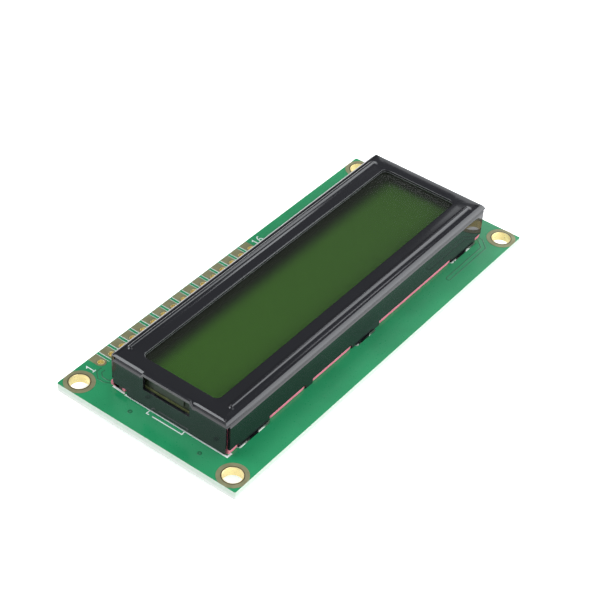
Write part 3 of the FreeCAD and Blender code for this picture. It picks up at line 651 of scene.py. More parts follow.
class Maker:
    """Turns bmesh geometry in millimetres into pieces that ride on the module."""

    least_mitre: float = 0.4

    @staticmethod
    def mesh(name: str, bm: Net, finishes: Sequence[Material]) -> bpy.types.Object:
        """Makes an object from a bmesh.

        Args:
            name: the object's name.
            bm: its geometry in millimetres; it is freed.
            finishes: its materials, by face index.

        Returns:
            The object.
        """
        bmesh.ops.scale(bm, vec=Vector((MM, MM, MM)), verts=bm.verts)
        mesh = bpy.data.meshes.new(name)
        bm.to_mesh(mesh)
        bm.free()
        for finish in finishes:
            mesh.materials.append(finish)
        mesh.shade_smooth()
        made = bpy.data.objects.new(name, mesh)
        bpy.context.scene.collection.objects.link(made)
        return made

    @staticmethod
    def piece(
        name: str,
        bm: Net,
        finishes: Sequence[Material],
        smooth_degrees: float = 35.0,
        round_mm: float = 0.0,
        round_steps: int = 2,
    ) -> bpy.types.Object:
        """Makes a piece of the module.

        Args:
            name: the piece's name.
            bm: its geometry in millimetres; it is freed.
            finishes: its materials, by face index.
            smooth_degrees: edges sharper than this stay sharp.
            round_mm: width of the rounding of its sharp edges, or nothing.
            round_steps: facets of that rounding.

        Returns:
            The object.
        """
        made = Maker.mesh(name, bm, finishes)
        mesh = made.data
        if round_mm:
            bevel = made.modifiers.new("edge_round", "BEVEL")
            bevel.width = round_mm * MM
            bevel.segments = round_steps
            bevel.limit_method = "ANGLE"
            bevel.angle_limit = math.radians(smooth_degrees)
            bevel.harden_normals = True
        else:
            mesh.set_sharp_from_angle(angle=math.radians(smooth_degrees))
        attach(made, "root")
        LOG.info("%s: %d faces", name, len(mesh.polygons))
        return made

    @staticmethod
    def plate(bm: Net, outlines: Sequence[Sequence[Point]], low: float, high: float) -> None:
        """Adds a flat plate with holes.

        Args:
            bm: receives the plate.
            outlines: its outline first, then those of its holes.
            low: level of its underside.
            high: level of its top.
        """
        edges = []
        for outline in outlines:
            ring = [bm.verts.new((x, y, low)) for x, y in outline]
            for first, second in zip(ring, ring[1:] + ring[:1]):
                edges.append(bm.edges.new((first, second)))
        filled = bmesh.ops.triangle_fill(bm, use_beauty=True, edges=edges)
        faces = [item for item in filled["geom"] if isinstance(item, Face)]
        raised = bmesh.ops.extrude_face_region(bm, geom=faces)
        top = [item for item in raised["geom"] if isinstance(item, Vert)]
        bmesh.ops.translate(bm, vec=(0, 0, high - low), verts=top)
        bmesh.ops.recalc_face_normals(bm, faces=bm.faces)

    @staticmethod
    def bridge(
        bm: Net,
        rows: Sequence[Sequence[Vert]],
        ring: bool = False,
        loop: bool = True,
    ) -> list[Face]:
        """Joins rows of points by four-sided faces.

        Args:
            bm: receives the faces.
            rows: the rows, with as many points in each.
            ring: whether the last row joins the first.
            loop: whether each row closes on itself.

        Returns:
            The new faces, one strip after another.
        """
        count = len(rows[0])
        faces = []
        for first, second in zip(rows, [*rows[1:], rows[0]] if ring else rows[1:]):
            for n in range(count if loop else count - 1):
                after = (n + 1) % count
                faces.append(bm.faces.new((first[n], first[after], second[after], second[n])))
        return faces

    @staticmethod
    def rod(bm: Net, rows: Sequence[Sequence[Vert]]) -> None:
        """Joins closed rows of points into a rod with both ends filled.

        Args:
            bm: receives the faces.
            rows: the rows from one end to the other.
        """
        Maker.bridge(bm, rows)
        bm.faces.new(rows[0])
        bm.faces.new(rows[-1][::-1])

    @staticmethod
    def turned(
        bm: Net, centre: Point, profile: Sequence[Point], steps: int
    ) -> list[list[Vert]]:
        """Adds the points of a profile turned about an upright axis.

        Args:
            bm: receives the points.
            centre: where the axis stands.
            profile: radius and level of each ring.
            steps: points of each ring.

        Returns:
            The rings.
        """
        return [
            [bm.verts.new((x, y, level)) for x, y in circle(*centre, radius, steps)]
            for radius, level in profile
        ]

    @staticmethod
    def brick(bm: Net, low: Sequence[float], high: Sequence[float]) -> None:
        """Adds a block between two corners.

        Args:
            bm: receives the block.
            low: its lowest corner.
            high: its highest corner.
        """
        outline = [(low[0], low[1]), (high[0], low[1]), (high[0], high[1]), (low[0], high[1])]
        Maker.plate(bm, [outline], low[2], high[2])

    @staticmethod
    def ribbon(
        bm: Net,
        route: Sequence[Point],
        width: float,
        level: float,
        height: float,
        taper: float,
    ) -> None:
        """Adds a low ridge along a route, such as a printed line or a trace.

        Args:
            bm: receives the ridge.
            route: points of its middle line.
            width: its width at the foot.
            level: level of its foot.
            height: its height; below zero on the underside.
            taper: width of the crest as a share of the width.
        """
        section = ((-1, level), (-taper, level + height), (taper, level + height), (1, level))
        rows = []
        for n, (x, y) in enumerate(route):
            before, after = route[max(0, n - 1)], route[min(len(route) - 1, n + 1)]
            here = Vector((x, y))
            arriving = here - Vector(before) if before != route[n] else Vector(after) - here
            leaving = Vector(after) - here if after != route[n] else arriving
            normal = arriving.normalized() + leaving.normalized()
            normal = Vector((-normal.y, normal.x)).normalized()
            side = Vector((-arriving.y, arriving.x)).normalized()
            reach = width / 2 / max(Maker.least_mitre, normal.dot(side))
            rows.append([
                bm.verts.new((x + normal.x * s * reach, y + normal.y * s * reach, z))
                for s, z in section
            ])
        Maker.rod(bm, rows)


def circle(x: float, y: float, radius: float, steps: int = 48) -> list[Point]:
    """Points of a circle.

    Args:
        x: its centre.
        y: its centre.
        radius: its radius.
        steps: number of points.

    Returns:
        The points.
    """
    turns = [2 * math.pi * n / steps for n in range(steps)]
    return [(x + radius * math.cos(a), y + radius * math.sin(a)) for a in turns]


def arc(x: float, y: float, radius: float, start: float, end: float, steps: int) -> list[Point]:
    """Points of an arc.

    Args:
        x: its centre.
        y: its centre.
        radius: its radius.
        start: first angle in degrees.
        end: last angle in degrees.
        steps: number of facets.

    Returns:
        The points.
    """
    turns = [math.radians(start + (end - start) * n / steps) for n in range(steps + 1)]
    return [(x + radius * math.cos(a), y + radius * math.sin(a)) for a in turns]


def stadium(x: float, y: float, length: float, width: float, steps: int = 14) -> list[Point]:
    """Outline with round ends along X.

    Args:
        x: its middle.
        y: its middle.
        length: from end to end.
        width: across it.
        steps: facets of each end.

    Returns:
        The points.
    """
    half, radius = (length - width) / 2, width / 2
    right = arc(x + half, y, radius, -90, 90, steps)
    return right + arc(x - half, y, radius, 90, 270, steps)


def rounded(x: float, y: float, length: float, width: float, corner: float) -> list[Point]:
    """Rectangle with round corners.

    Args:
        x: its middle.
        y: its middle.
        length: along X.
        width: along Y.
        corner: radius of its corners.

    Returns:
        The points.
    """
    a, b = length / 2 - corner, width / 2 - corner
    places = ((a, -b, -90), (a, b, 0), (-a, b, 90), (-a, -b, 180))
    return [
        point
        for dx, dy, start in places
        for point in arc(x + dx, y + dy, corner, start, start + 90, 6)
    ]


# Circuit board


@dataclass
class Board:
    """Laminate with its lacquer, print, traces, pads and plated holes."""

    finishes: Finishes
    edge_round: float = 0.05
    corner: float = 0.25
    mount_inset: float = 2.5
    mount_hole: float = 3.2
    mount_ring: float = 5.15
    ring_margin: float = 0.02
    # Width of the bright mouth and of the dull rim of a hole
    pin_lip: Point = (0.12, 0.06)
    mount_lip: Point = (0.1, 0.18)
    mouth: float = 0.05
    wall: float = 0.09
    pin_count: int = 16
    pin_pitch: float = 2.54
    first_pin_inset: float = 8.0
    pin_row_inset: float = 2.0
    pin_hole: float = 1.0
    pad_width: float = 1.8
    pad_edge_gap: float = 0.1
    plating: float = 0.1
    slot_width: float = 1.1
    slot_lengths: tuple[float, ...] = (7.8, 5.6, 7.8)
    slot_spacing: float = 29.15
    slot_shift: float = 0.05
    slot_outset: float = 11.87
    lead_hole: float = 0.8
    lead_spacing: float = 10.0
    print_line: float = 0.2
    print_bold: float = 0.36
    print_thin: float = 0.14
    print_fine: float = 0.12
    print_back: float = 0.78
    # Side and width of the two lines between neighbouring pads
    pad_prints: tuple[Point, Point] = ((1, 0.13), (-1, 0.07))
    pad_print_gap: float = 0.09
    print_height: float = 0.02
    trace_height: float = 0.03
    sink: float = 0.005
    overlap: float = 0.01
    ink_taper: float = 0.92
    trace_taper: float = 0.6
    cover_links: int = 9
    fan_traces: int = 14

    def __post_init__(self) -> None:
        """Reads the board's place from the frame."""
        low, high = box_mm("circuit_board")
        self.low, self.high = board_faces()
        self.half_x, self.half_y = high.x, high.y
        self.row_y = high.y - self.pin_row_inset
        self.pins = [
            low.x + self.first_pin_inset + n * self.pin_pitch for n in range(self.pin_count)
        ]
        bezel_low, bezel_high = box_mm("bezel_frame")
        self.bezel_left, self.bezel_right = bezel_low.x, bezel_high.x
        self.bezel_x = middle_mm("bezel_frame").x
        self.lead_x, self.lead_y, _ = middle_mm("backlight_terminals")

    def mounts(self) -> list[Point]:
        """Centres of the mounting holes."""
        x, y = self.half_x - self.mount_inset, self.half_y - self.mount_inset
        return [(a * x, b * y) for a in (-1, 1) for b in (-1, 1)]

    def slots(self) -> list[list[Point]]:
        """Outlines of the slots for the bezel's tabs.

        Returns:
            The front row and then the back row, each from left to right.
        """
        middle = self.bezel_x + self.slot_shift
        return [
            stadium(
                middle + (n - 1) * self.slot_spacing,
                self.lead_y + side * self.slot_outset,
                length,
                self.slot_width,
            )
            for side in (-1, 1)
            for n, length in enumerate(self.slot_lengths)
        ]

    def build(self) -> None:
        """Makes every piece of the board."""
        self._laminate()
        self._copper()
        self._print()
        self._traces_on_top()
        self._traces_below()

    def _laminate(self) -> None:
        """The drilled and routed board, green on its faces and uncoated on its edges."""
        wide = self.plating
        outlines = [rounded(0, 0, 2 * self.half_x, 2 * self.half_y, self.corner)]
        outlines += [circle(x, y, self.mount_hole / 2 + wide) for x, y in self.mounts()]
        outlines += [circle(x, self.row_y, self.pin_hole / 2 + wide, 28) for x in self.pins]
        outlines += self.slots()
        outlines += [
            circle(self.lead_x, self.lead_y + s * self.lead_spacing / 2, self.lead_hole / 2, 24)
            for s in (-1, 1)
        ]
        bm = bmesh.new()
        Maker.plate(bm, outlines, self.low, self.high)
        for face in bm.faces:
            face.material_index = 0 if abs(face.normal.z) > 0.5 else 1
        finishes = (self.finishes.mask, self.finishes.edge)
        board = Maker.piece("laminate", bm, finishes, round_mm=self.edge_round)
        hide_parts("circuit_board")

    def _pad_outline(self, x: float) -> list[Point]:
        """Outline of a header pad, round about its hole and square at the board's edge.

        Args:
            x: place of its hole.

        Returns:
            The points.
        """
        radius = self.pad_width / 2
        back = self.half_y - self.pad_edge_gap
        rounding = arc(x, self.row_y, radius, 180, 360, 16)
        return rounding + [(x + radius, back), (x - radius, back)]

    def _copper(self) -> None:
        """Plated pads and rings on both faces, and the barrels of their holes."""
        pads, barrels = bmesh.new(), bmesh.new()
        levels = (
            (self.low - COPPER, self.low + self.overlap),
            (self.high - self.overlap, self.high + COPPER),
        )
        for low, high in levels:
            for x in self.pins:
                hole = circle(x, self.row_y, self.pin_hole / 2 + self.plating, 28)
                Maker.plate(pads, [self._pad_outline(x), hole], low, high)
            for x, y in self.mounts():
                hole = circle(x, y, self.mount_hole / 2 + self.plating)
                Maker.plate(pads, [self._ring_outline(x, y), hole], low, high)
        pieces = Maker.piece("plated_pads", pads, (self.finishes.gold,), round_mm=0.02)
        for x in self.pins:
            self._barrel(barrels, (x, self.row_y), self.pin_hole / 2, self.pin_lip, 28)
        for place in self.mounts():
            self._barrel(barrels, place, self.mount_hole / 2, self.mount_lip, 56)
        finishes = (self.finishes.barrel, self.finishes.rim)
        holes = Maker.piece("plated_holes", barrels, finishes)

    def _barrel(self, bm: Net, place: Point, radius: float, lip: Point, steps: int) -> None:
        """Adds the plated wall of a hole with its bright mouths and dull rims.

        Args:
            bm: receives the wall.
            place: centre of the hole.
            radius: radius of the hole.
            lip: width of the bright mouth and of the dull rim about it.
            steps: facets round the hole.
        """
        low, high = self.low - COPPER - self.overlap, self.high + COPPER + self.overlap
        bright, dull = radius + lip[0], radius + lip[0] + lip[1]
        # Radius and depth in the board of each point, from the hole's wall out and down again
        section = [
            (radius, self.mouth),
            (radius + self.mouth, 0.0),
            (bright, self.sink),
            (dull, 2 * self.sink),
            (dull, self.mouth),
            (radius + self.wall, self.mouth + 2 * self.sink),
        ]
        profile = [(r, high - down) for r, down in section]
        profile += [(r, low + up) for r, up in reversed(section)]
        dull_strips = (2, 8)
        rings = Maker.turned(bm, place, profile, steps)
        for n, face in enumerate(Maker.bridge(bm, rings, ring=True)):
            face.material_index = 1 if n // steps in dull_strips else 0
        bmesh.ops.recalc_face_normals(bm, faces=bm.faces)

    def _ring_outline(self, x: float, y: float) -> list[Point]:
        """Outline of a mounting ring, cut off where it meets the board's edges.

        Args:
            x: its centre.
            y: its centre.

        Returns:
            The points.
        """
        radius = self.mount_ring / 2
        limit_x, limit_y = self.half_x - self.ring_margin, self.half_y - self.ring_margin
        return [
            (max(-limit_x, min(limit_x, px)), max(-limit_y, min(limit_y, py)))
            for px, py in circle(x, y, radius, 64)
        ]

    def _print(self) -> None:
        """White print: outline of the bezel's end, a bracket and the first and last pin."""
        bm = bmesh.new()
        high = self.high - self.sink

        def line(route: Sequence[Point], wide: float = self.print_line) -> None:
            """Draws one line of ink."""
            Maker.ribbon(bm, route, wide, high, self.print_height, self.ink_taper)

        left = self.bezel_left
        end = [(0.2, 8.15), (0.12, -9.4), (0.1, -12.45), (1.1, -12.5)]
        line([(left + 0.42, 10.9), (left + 0.32, 8.35)], self.print_bold)
        line([(left + x, y) for x, y in end], self.print_bold)
        line([(left + 0.25, -9.35), (left + 0.9, -9.3)], self.print_thin)
        line([(left + 0.1, 2.9), (left - 0.75, 2.9), (left - 0.75, 2.4)])
        line([(left - 0.72, 1.75), (left - 0.7, -4.2), (left, -4.15)])
        right = self.bezel_right
        line([(right + 0.15, 10.9), (right + 0.15, -12.0)])
        back = self.lead_y + self.slot_outset + self.print_back
        line([(self.pins[11] - 0.4, back), (self.pins[-1] + 3.2, back)], self.print_fine)
        one = [(-0.35, 0.5), (0.0, 0.8), (0.0, -0.8)]
        serif = [(-0.35, -0.8), (0.35, -0.8)]
        for stroke in (one, serif):
            self._figure(bm, stroke, (self.pins[0] - 2.2, self.row_y + 0.2), 1.0)
        last = self.pins[-1] + 1.95
        self._figure(bm, one, (last, self.row_y + 0.5), 0.9)
        six = arc(0.0, -0.35, 0.42, 120, -240, 16) + [(-0.3, 0.35), (0.1, 0.8), (0.4, 0.75)]
        self._figure(bm, six, (last + 1.15, self.row_y + 0.5), 0.9)
        gap = self.pin_pitch / 2 - self.pad_width / 2 - self.pad_print_gap
        pad_end = self.row_y - self.pad_width / 2
        for x in self.pins[:-1]:
            for way, wide in self.pad_prints:
                edge = x + self.pin_pitch / 2 + way * gap
                line([(edge, pad_end), (edge, self.half_y - 0.15)], wide)
        ink = Maker.piece("board_print", bm, (self.finishes.ink,))

    def _figure(self, bm: Net, stroke: Sequence[Point], place: Point, scale: float) -> None:
        """Draws one stroke of a figure that reads from the board's front edge.

        Args:
            bm: receives the stroke.
            stroke: its points about the figure's middle.
            place: the figure's middle.
            scale: size of the figure.
        """
        route = [(place[0] + x * scale, place[1] + y * scale) for x, y in stroke]
        level = self.high - self.sink
        Maker.ribbon(bm, route, self.print_line, level, self.print_height, self.ink_taper)

    def _traces_on_top(self) -> None:
        """Tracks and vias that show as low ridges under the lacquer."""
        bm = bmesh.new()
        level = self.high - self.sink

        def track(route: Sequence[Point], width: float) -> None:
            """Lays one track."""
            Maker.ribbon(bm, route, width, level, self.trace_height, self.trace_taper)

        row = self.row_y
        for x in self.pins[1:]:
            pad_end = row - self.pad_width / 2
            track([(x, pad_end), (x, row - 2.2), (x + 0.6, row - 4.2)], 0.3)
        corner = self.bezel_left
        for step in (0.0, 0.75):
            track([
                (corner + 2.3, 14.3 + step),
                (corner + 1.5 - step * 0.4, 14.3 + step),
                (corner + 0.85 - step, 13.5 + step * 0.4),
                (corner + 0.85 - step, 12.6),
                (corner + 1.3 - step * 0.8, 11.5),
            ], 0.2)
        hairpin = [(34.3, -9.5), (34.3, -12.8), (32.9, -14.21)]
        hairpin += arc(22.1, -14.6, 0.39, 90, 270, 10)
        hairpin += [(33.3, -14.99), (35.05, -13.15), (35.05, -9.5)]
        track(hairpin, 0.2)
        for x, y in ((-37.3, 5.1), (-37.2, -8.8), (36.9, 3.2)):
            self._via(bm, (x, y), self.high, 1)
        tracks = Maker.piece("tracks_top", bm, (self.finishes.track,), 60.0)

    def _via(self, bm: Net, place: Point, level: float, way: int) -> None:
        """A small via, raised round its filled middle.

        Args:
            bm: receives the via.
            place: its centre.
            level: the face of the board.
            way: 1 on the top, -1 on the underside.
        """
        foot, crest = level - way * self.sink, level + way * self.trace_height
        profile = [(0.42, foot), (0.36, crest), (0.2, crest), (0.12, level + way * 0.004)]
        rings = Maker.turned(bm, place, [*profile, (0.12, foot)], 20)
        Maker.bridge(bm, rings, ring=True)

    def _traces_below(self) -> None:
        """Tracks and vias on the underside, between the covered chips and the pads."""
        bm = bmesh.new()
        level = self.low + self.sink

        def track(route: Sequence[Point], width: float = 0.3) -> None:
            """Lays one track."""
            Maker.ribbon(bm, route, width, level, -self.trace_height, self.trace_taper)

        left, right = middle_mm("controller_cover").x, middle_mm("driver_cover").x
        radius = box_mm("controller_cover")[1].x - left
        link_pitch, link_ends = 0.9, (4.2, 3.0)
        for n in range(self.cover_links):
            y = (n - self.cover_links // 2) * link_pitch
            reach = math.sqrt(radius**2 - y**2)
            end = link_ends[n % 2]
            track([(left + reach, y), (-end, y)])
            track([(end, y), (right - reach, y)])
        top, lanes, lane_pitch, target_pitch = self.row_y - 0.8, 9.2, 0.32, 0.72
        for n, x in enumerate(self.pins):
            turn = lanes + lane_pitch * (n % 8)
            target = left + (n - (self.pin_count - 1) / 2) * target_pitch
            drop = math.sqrt(max(0.2, radius**2 - min(radius - 0.3, abs(target - left)) ** 2))
            slope = min(abs(target - x), turn - drop - 0.6)
            mid_x = x + math.copysign(slope, target - x)
            track([(x, top), (x, turn), (mid_x, turn - slope), (mid_x, drop + 0.1)], 0.25)
        for n in range(self.fan_traces):
            angle = math.radians(200 + n * 10)
            c, s = math.cos(angle), math.sin(angle)
            out = 3.2 + 0.5 * (n % 3)
            for middle in (left, right):
                near = (middle + radius * c, radius * s)
                far = (middle + (radius + out) * c, (radius + out) * s)
                track([near, far, (far[0], far[1] - 1.1)], 0.25)
                self._via(bm, (far[0], far[1] - 1.3), self.low, -1)
        tracks = Maker.piece("tracks_underside", bm, (self.finishes.mask,), 60.0)


# Bezel


class Side(Enum):
    """The four sides of the bezel, going round it from the front."""

    FRONT = 0
    RIGHT = 1
    BACK = 2
    LEFT = 3

    def is_end(self) -> bool:
        """Whether it is one of the two short sides."""
        return self in (Side.RIGHT, Side.LEFT)

    def at(self, along: float, out: float) -> Point:
        """Plan position from distances along and out of this side.

        Args:
            along: distance along the side, going round.
            out: distance outwards from the bezel's middle.

        Returns:
            The position about the bezel's middle.
        """
        turn = self.value * math.pi / 2
        c, s = round(math.cos(turn)), round(math.sin(turn))
        return along * c + out * s, along * s - out * c


@dataclass
class Bezel:
    """Folded cover: plate with window and beads, bends, walls, feet, notches and tabs."""

    finishes: Finishes
    width: float = 24.2
    sheet: float = 0.5
    side_bend: float = 1.6
    end_bend: float = 1.0
    side_relief: float = 0.65
    # Width of the open corners along an end, at the front and at the back
    end_reliefs: Point = (0.35, 1.2)
    back_corner_drop: float = 0.3
    back_relief: float = 1.1
    skirt_gap: float = 0.9
    end_gap: float = 0.3
    window: Point = (64.8, 15.0)
    window_corner: float = 1.0
    lip: float = 0.16
    bead_height: float = 0.45
    bead_width: float = 1.2
    bead_length: float = 65.6
    bead_offset: float = 10.08
    bead_shift: float = 0.04
    bead_crest: float = 0.28
    # Radius of the hollow at a bead's foot, in front and behind
    bead_feet: Point = (1.08, 0.45)
    bead_lift: float = 0.002
    foot_width: float = 7.6
    foot_spacing: float = 29.15
    foot_shift: float = 0.2
    # Middle and width of the small foot between two wide ones
    rest_foot: Point = (-15.05, 1.8)
    # Width and height of the notch at the filling port and of the left end's back corner
    notch: Point = (9.3, 2.7)
    corner_notch: Point = (4.1, 1.4)
    notch_blend: float = 0.55
    port_corner: float = 0.08
    # Shares of the bend's points on the flat and then down its rounded edge
    port_shares: Point = (0.5, 0.75)
    tab_width: float = 2.2
    tab_twist: float = 40.0
    tab_bite: float = 0.2
    tab_step: float = 0.12
    bend_steps: int = 16
    corner_reach: float = 3.0
    # Extra points beside the window's corners, along an end and along a side
    corner_margins: Point = (0.6, 0.5)
    plate_marks: tuple[float, ...] = (10.0, 20.0, 28.0)
    least_gap: float = 0.02
    weld: float = 0.0005

    def __post_init__(self) -> None:
        """Reads the bezel's place from the frame."""
        low, high = box_mm("bezel_frame")
        self.half_x = (high.x - low.x) / 2
        self.half_y = self.width / 2
        self.middle = ((low.x + high.x) / 2, (low.y + high.y) / 2)
        self.top = high.z - self.bead_height
        self.board_low, self.floor = board_faces()
        self.tip = low.z
        drop = self.side_bend
        turns = [math.pi / 2 * n / self.bend_steps for n in range(self.bend_steps + 1)]
        levels = {round(self.top - drop + drop * math.cos(a), 4) for a in turns}
        levels.add(self.top - self.end_bend)
        self.bend_levels = sorted(levels, reverse=True)
        self.wall_levels = sorted(
            {
                self.top - self.sheet - self.notch[1],
                self.floor + self.corner_notch[1],
                self.floor + self.skirt_gap,
                self.floor + self.end_gap,
                self.floor,
            },
            reverse=True,
        )

    def feet(self) -> list[Point]:
        """Works out where the feet stand.

        Returns:
            Left and right end of each foot, from left to right.
        """
        half = self.foot_width / 2
        middles = [self.foot_shift + n * self.foot_spacing for n in (-1, 0, 1)]
        spans = [(m - half, m + half) for m in middles]
        rest, wide = self.rest_foot
        return sorted(spans + [(rest - wide / 2, rest + wide / 2)])

    def _stations(self, side: Side) -> list[float]:
        """Works out where along a side the sheet has a row of points.

        Args:
            side: the side.

        Returns:
            The places, in order.
        """
        if side.is_end():
            half, straight = self.half_y, self.window[1] / 2 - self.window_corner
            marks = {0.0, straight - self.corner_margins[0], straight}
            marks |= {half - relief for relief in self.end_reliefs}
            if side is Side.LEFT:
                notch = self.notch[0] / 2
                marks |= {notch, notch + self.notch_blend, half - self.corner_notch[0]}
        else:
            half, straight = self.half_x, self.window[0] / 2 - self.window_corner
            marks = {0.0, straight, straight + self.corner_margins[1], half - self.side_bend}
            marks |= {half - self.side_relief, half - self.back_relief, *self.plate_marks}
        marks.add(half - self.sheet)
        stations = {s * m for m in marks for s in (-1, 1)} | {-half, half}
        if not side.is_end():
            way = 1 if side is Side.FRONT else -1
            stations |= {way * x for span in self.feet() for x in span}
        ordered = sorted(stations)
        kept = [ordered[0]]
        for station in ordered[1:]:
            if station - kept[-1] > self.least_gap:
                kept.append(station)
        return kept

    def _profile(self, radius: float, half: float, level: float, inner: bool) -> float:
        """Distance outwards of a wall's skin at a level.

        Args:
            radius: outer radius of the bend.
            half: half of the bezel across this side.
            level: height of the point.
            inner: whether the inside of the sheet is meant.

        Returns:
            The distance from the middle.
        """
        bend = radius - self.sheet if inner else radius
        rise = min(bend, max(0.0, level - (self.top - radius)))
        return half - radius + math.sqrt(max(0.0, bend**2 - rise**2))

    def _over_port(self, side: Side, along: float) -> bool:
        """Whether a place is where the plate runs out flat above the filling port."""
        return side is Side.LEFT and abs(along) - self.notch[0] / 2 <= HAIR

    def _bend_point(self, side: Side, along: float, level: float, inner: bool) -> Vector:
        """Works out a point of the sheet in the region of the bends.

        Args:
            side: the side.
            along: place along it.
            level: level of the point on the outside of the sheet.
            inner: whether the inside of the sheet is meant.

        Returns:
            The point about the bezel's middle.
        """
        if self._over_port(side, along):
            return self._flat_point(side, along, level, inner)
        half = self.half_x if side.is_end() else self.half_y
        radius = self.end_bend if side.is_end() else self.side_bend
        other_half = self.half_y if side.is_end() else self.half_x
        other_radius = self.side_bend if side.is_end() else self.end_bend
        z = level
        if inner:
            drop = (self.top - level) / self.side_bend
            z = self.top - self.side_bend + (self.side_bend - self.sheet) * (1 - drop)
        out = self._profile(radius, half, z, inner)
        corner = self._profile(other_radius, other_half, z, inner)
        if abs(along) > other_half - self.corner_reach:
            if inner and abs(along) >= other_half - self.sheet - HAIR:
                along = math.copysign(corner, along)
            else:
                full = other_half - self.sheet if inner else other_half
                along = along * corner / full
        return Vector((*side.at(along, out), z))

    def _flat_point(self, side: Side, along: float, level: float, inner: bool) -> Vector:
        """Works out a point of the plate where it runs out flat above the filling port.

        Args:
            side: the side.
            along: place along it.
            level: level that the point would have on a bend.
            inner: whether the inside of the sheet is meant.

        Returns:
            The point about the bezel's middle.
        """
        share = (self.top - level) / self.side_bend
        flat, edge = self.port_shares
        start, corner = self.half_x - self.end_bend, self.port_corner
        if inner:
            full = self.half_x - self.sheet
            out, z = start + (full - start) * min(1.0, share / flat), self.top - self.sheet
        elif share < flat:
            out, z = start + (self.half_x - corner - start) * share / flat, self.top
        elif share < edge:
            turn = (share - flat) / (edge - flat) * math.pi / 2
            out = self.half_x - corner + corner * math.sin(turn)
            z = self.top - corner + corner * math.cos(turn)
        else:
            out = self.half_x
            z = self.top - corner - (self.sheet - corner) * (share - edge) / (1 - edge)
        return Vector((*side.at(along, out), z))

    def _wall_point(self, side: Side, along: float, level: float, inner: bool) -> Vector:
        """Works out a point of a wall below the bends.

        Args:
            side: the side.
            along: place along it.
            level: level of the point.
            inner: whether the inside of the sheet is meant.

        Returns:
            The point about the bezel's middle.
        """
        half = self.half_x if side.is_end() else self.half_y
        other = self.half_y if side.is_end() else self.half_x
        if inner:
            along = max(-(other - self.sheet), min(other - self.sheet, along))
            half -= self.sheet
        return Vector((*side.at(along, half), level))

    def _window_frame(self, side: Side, along: float) -> tuple[Vector, Vector]:
        """Finds the place on the window's outline that belongs to a station.

        Args:
            side: the side.
            along: place of the station along it.

        Returns:
            The place on the outline, and its outward direction.
        """
        half_a, half_o, full = self.window[0] / 2, self.window[1] / 2, self.half_x
        if side.is_end():
            half_a, half_o, full = half_o, half_a, self.half_y
        r = self.window_corner
        straight = half_a - r
        turn, base = 0.0, along
        if abs(along) > straight + HAIR:
            turn = math.radians(45) * min(1.0, (abs(along) - straight) / (full - straight))
            base = math.copysign(straight, along)
        s = math.copysign(math.sin(turn), along)
        place = side.at(base + r * s, half_o - r + r * math.cos(turn))
        outward = side.at(s, math.cos(turn))
        return Vector((*place, 0.0)), Vector((*outward, 0.0))

    def _column(self, side: Side, along: float) -> tuple[list[Vector], list[Vector]]:
        """Works out the points of the sheet at one station, from the window down.

        Args:
            side: the side.
            along: place of the station along it.

        Returns:
            The points of its outside and of its inside.
        """
        place, outward = self._window_frame(side, along)
        outer, inner = [], []
        for degrees in (0, 22.5, 45, 67.5, 90):
            turn = math.radians(degrees)
            point = place + outward * self.lip * (1 - math.cos(turn))
            outer.append(point + Vector((0, 0, self.top - self.lip * (1 - math.sin(turn)))))
            inner.append(point + Vector((0, 0, self.top - self.sheet)))
        for level in self.bend_levels:
            outer.append(self._bend_point(side, along, level, False))
            inner.append(self._bend_point(side, along, level, True))
        for level in self.wall_levels:
            outer.append(self._wall_point(side, along, level, False))
            inner.append(self._wall_point(side, along, level, True))
        return outer, inner

    def _present(self, side: Side, start: float, end: float, high: float, low: float) -> bool:
        """Tells whether the sheet has metal in a cell.

        Args:
            side: the side.
            start: the cell's first station.
            end: its second station.
            high: its upper level.
            low: its lower level.

        Returns:
            Whether there is metal.
        """
        along, level = (start + end) / 2, (high + low) / 2
        if self._is_open(side, along, level):
            return False
        if level > self.top - self.side_bend:
            return True
        if side.is_end():
            in_notch = side is Side.LEFT and abs(along) < self.notch[0] / 2
            if in_notch and level > self.top - self.sheet - self.notch[1]:
                return False
            bottom = self.floor + self.end_gap
            if side is Side.LEFT and along < -(self.half_y - self.corner_notch[0]):
                bottom = self.floor + self.corner_notch[1]
            return level > bottom
        if level > self.floor + self.skirt_gap:
            return True
        x = along if side is Side.FRONT else -along
        return any(left < x < right for left, right in self.feet())

    def _is_open(self, side: Side, along: float, level: float) -> bool:
        """Tells whether a place on a side lies in one of the open corners.

        Args:
            side: the side.
            along: place along it.
            level: level of the place.

        Returns:
            Whether it is open.
        """
        if side.is_end():
            at_front = along > 0 if side is Side.LEFT else along < 0
            relief = self.half_y - self.end_reliefs[0 if at_front else 1]
        else:
            at_front = side is Side.FRONT
            relief = self.half_x - (self.side_relief if at_front else self.back_relief)
        ceiling = self.end_bend if at_front else self.back_corner_drop
        return abs(along) > relief and level < self.top - ceiling

    def build(self) -> None:
        """Makes the sheet with its tabs, and the two beads."""
        bm = bmesh.new()
        for side in Side:
            self._fold(bm, side)
        self._tabs(bm)
        bmesh.ops.translate(bm, vec=(*self.middle, 0), verts=bm.verts)
        bmesh.ops.remove_doubles(bm, verts=bm.verts, dist=self.weld)
        bmesh.ops.dissolve_degenerate(bm, edges=bm.edges, dist=self.weld)
        bmesh.ops.recalc_face_normals(bm, faces=bm.faces)
        sheet = Maker.piece(
            "folded_bezel", bm, (self.finishes.coat,), smooth_degrees=42, round_mm=0.07
        )
        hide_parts("bezel_frame")
        beads = bmesh.new()
        for side in (-1, 1):
            self._bead(beads, side * self.bead_offset + self.bead_shift)
        bmesh.ops.translate(beads, vec=(*self.middle, 0), verts=beads.verts)
        ridges = Maker.piece("bezel_beads", beads, (self.finishes.coat,), 60.0)

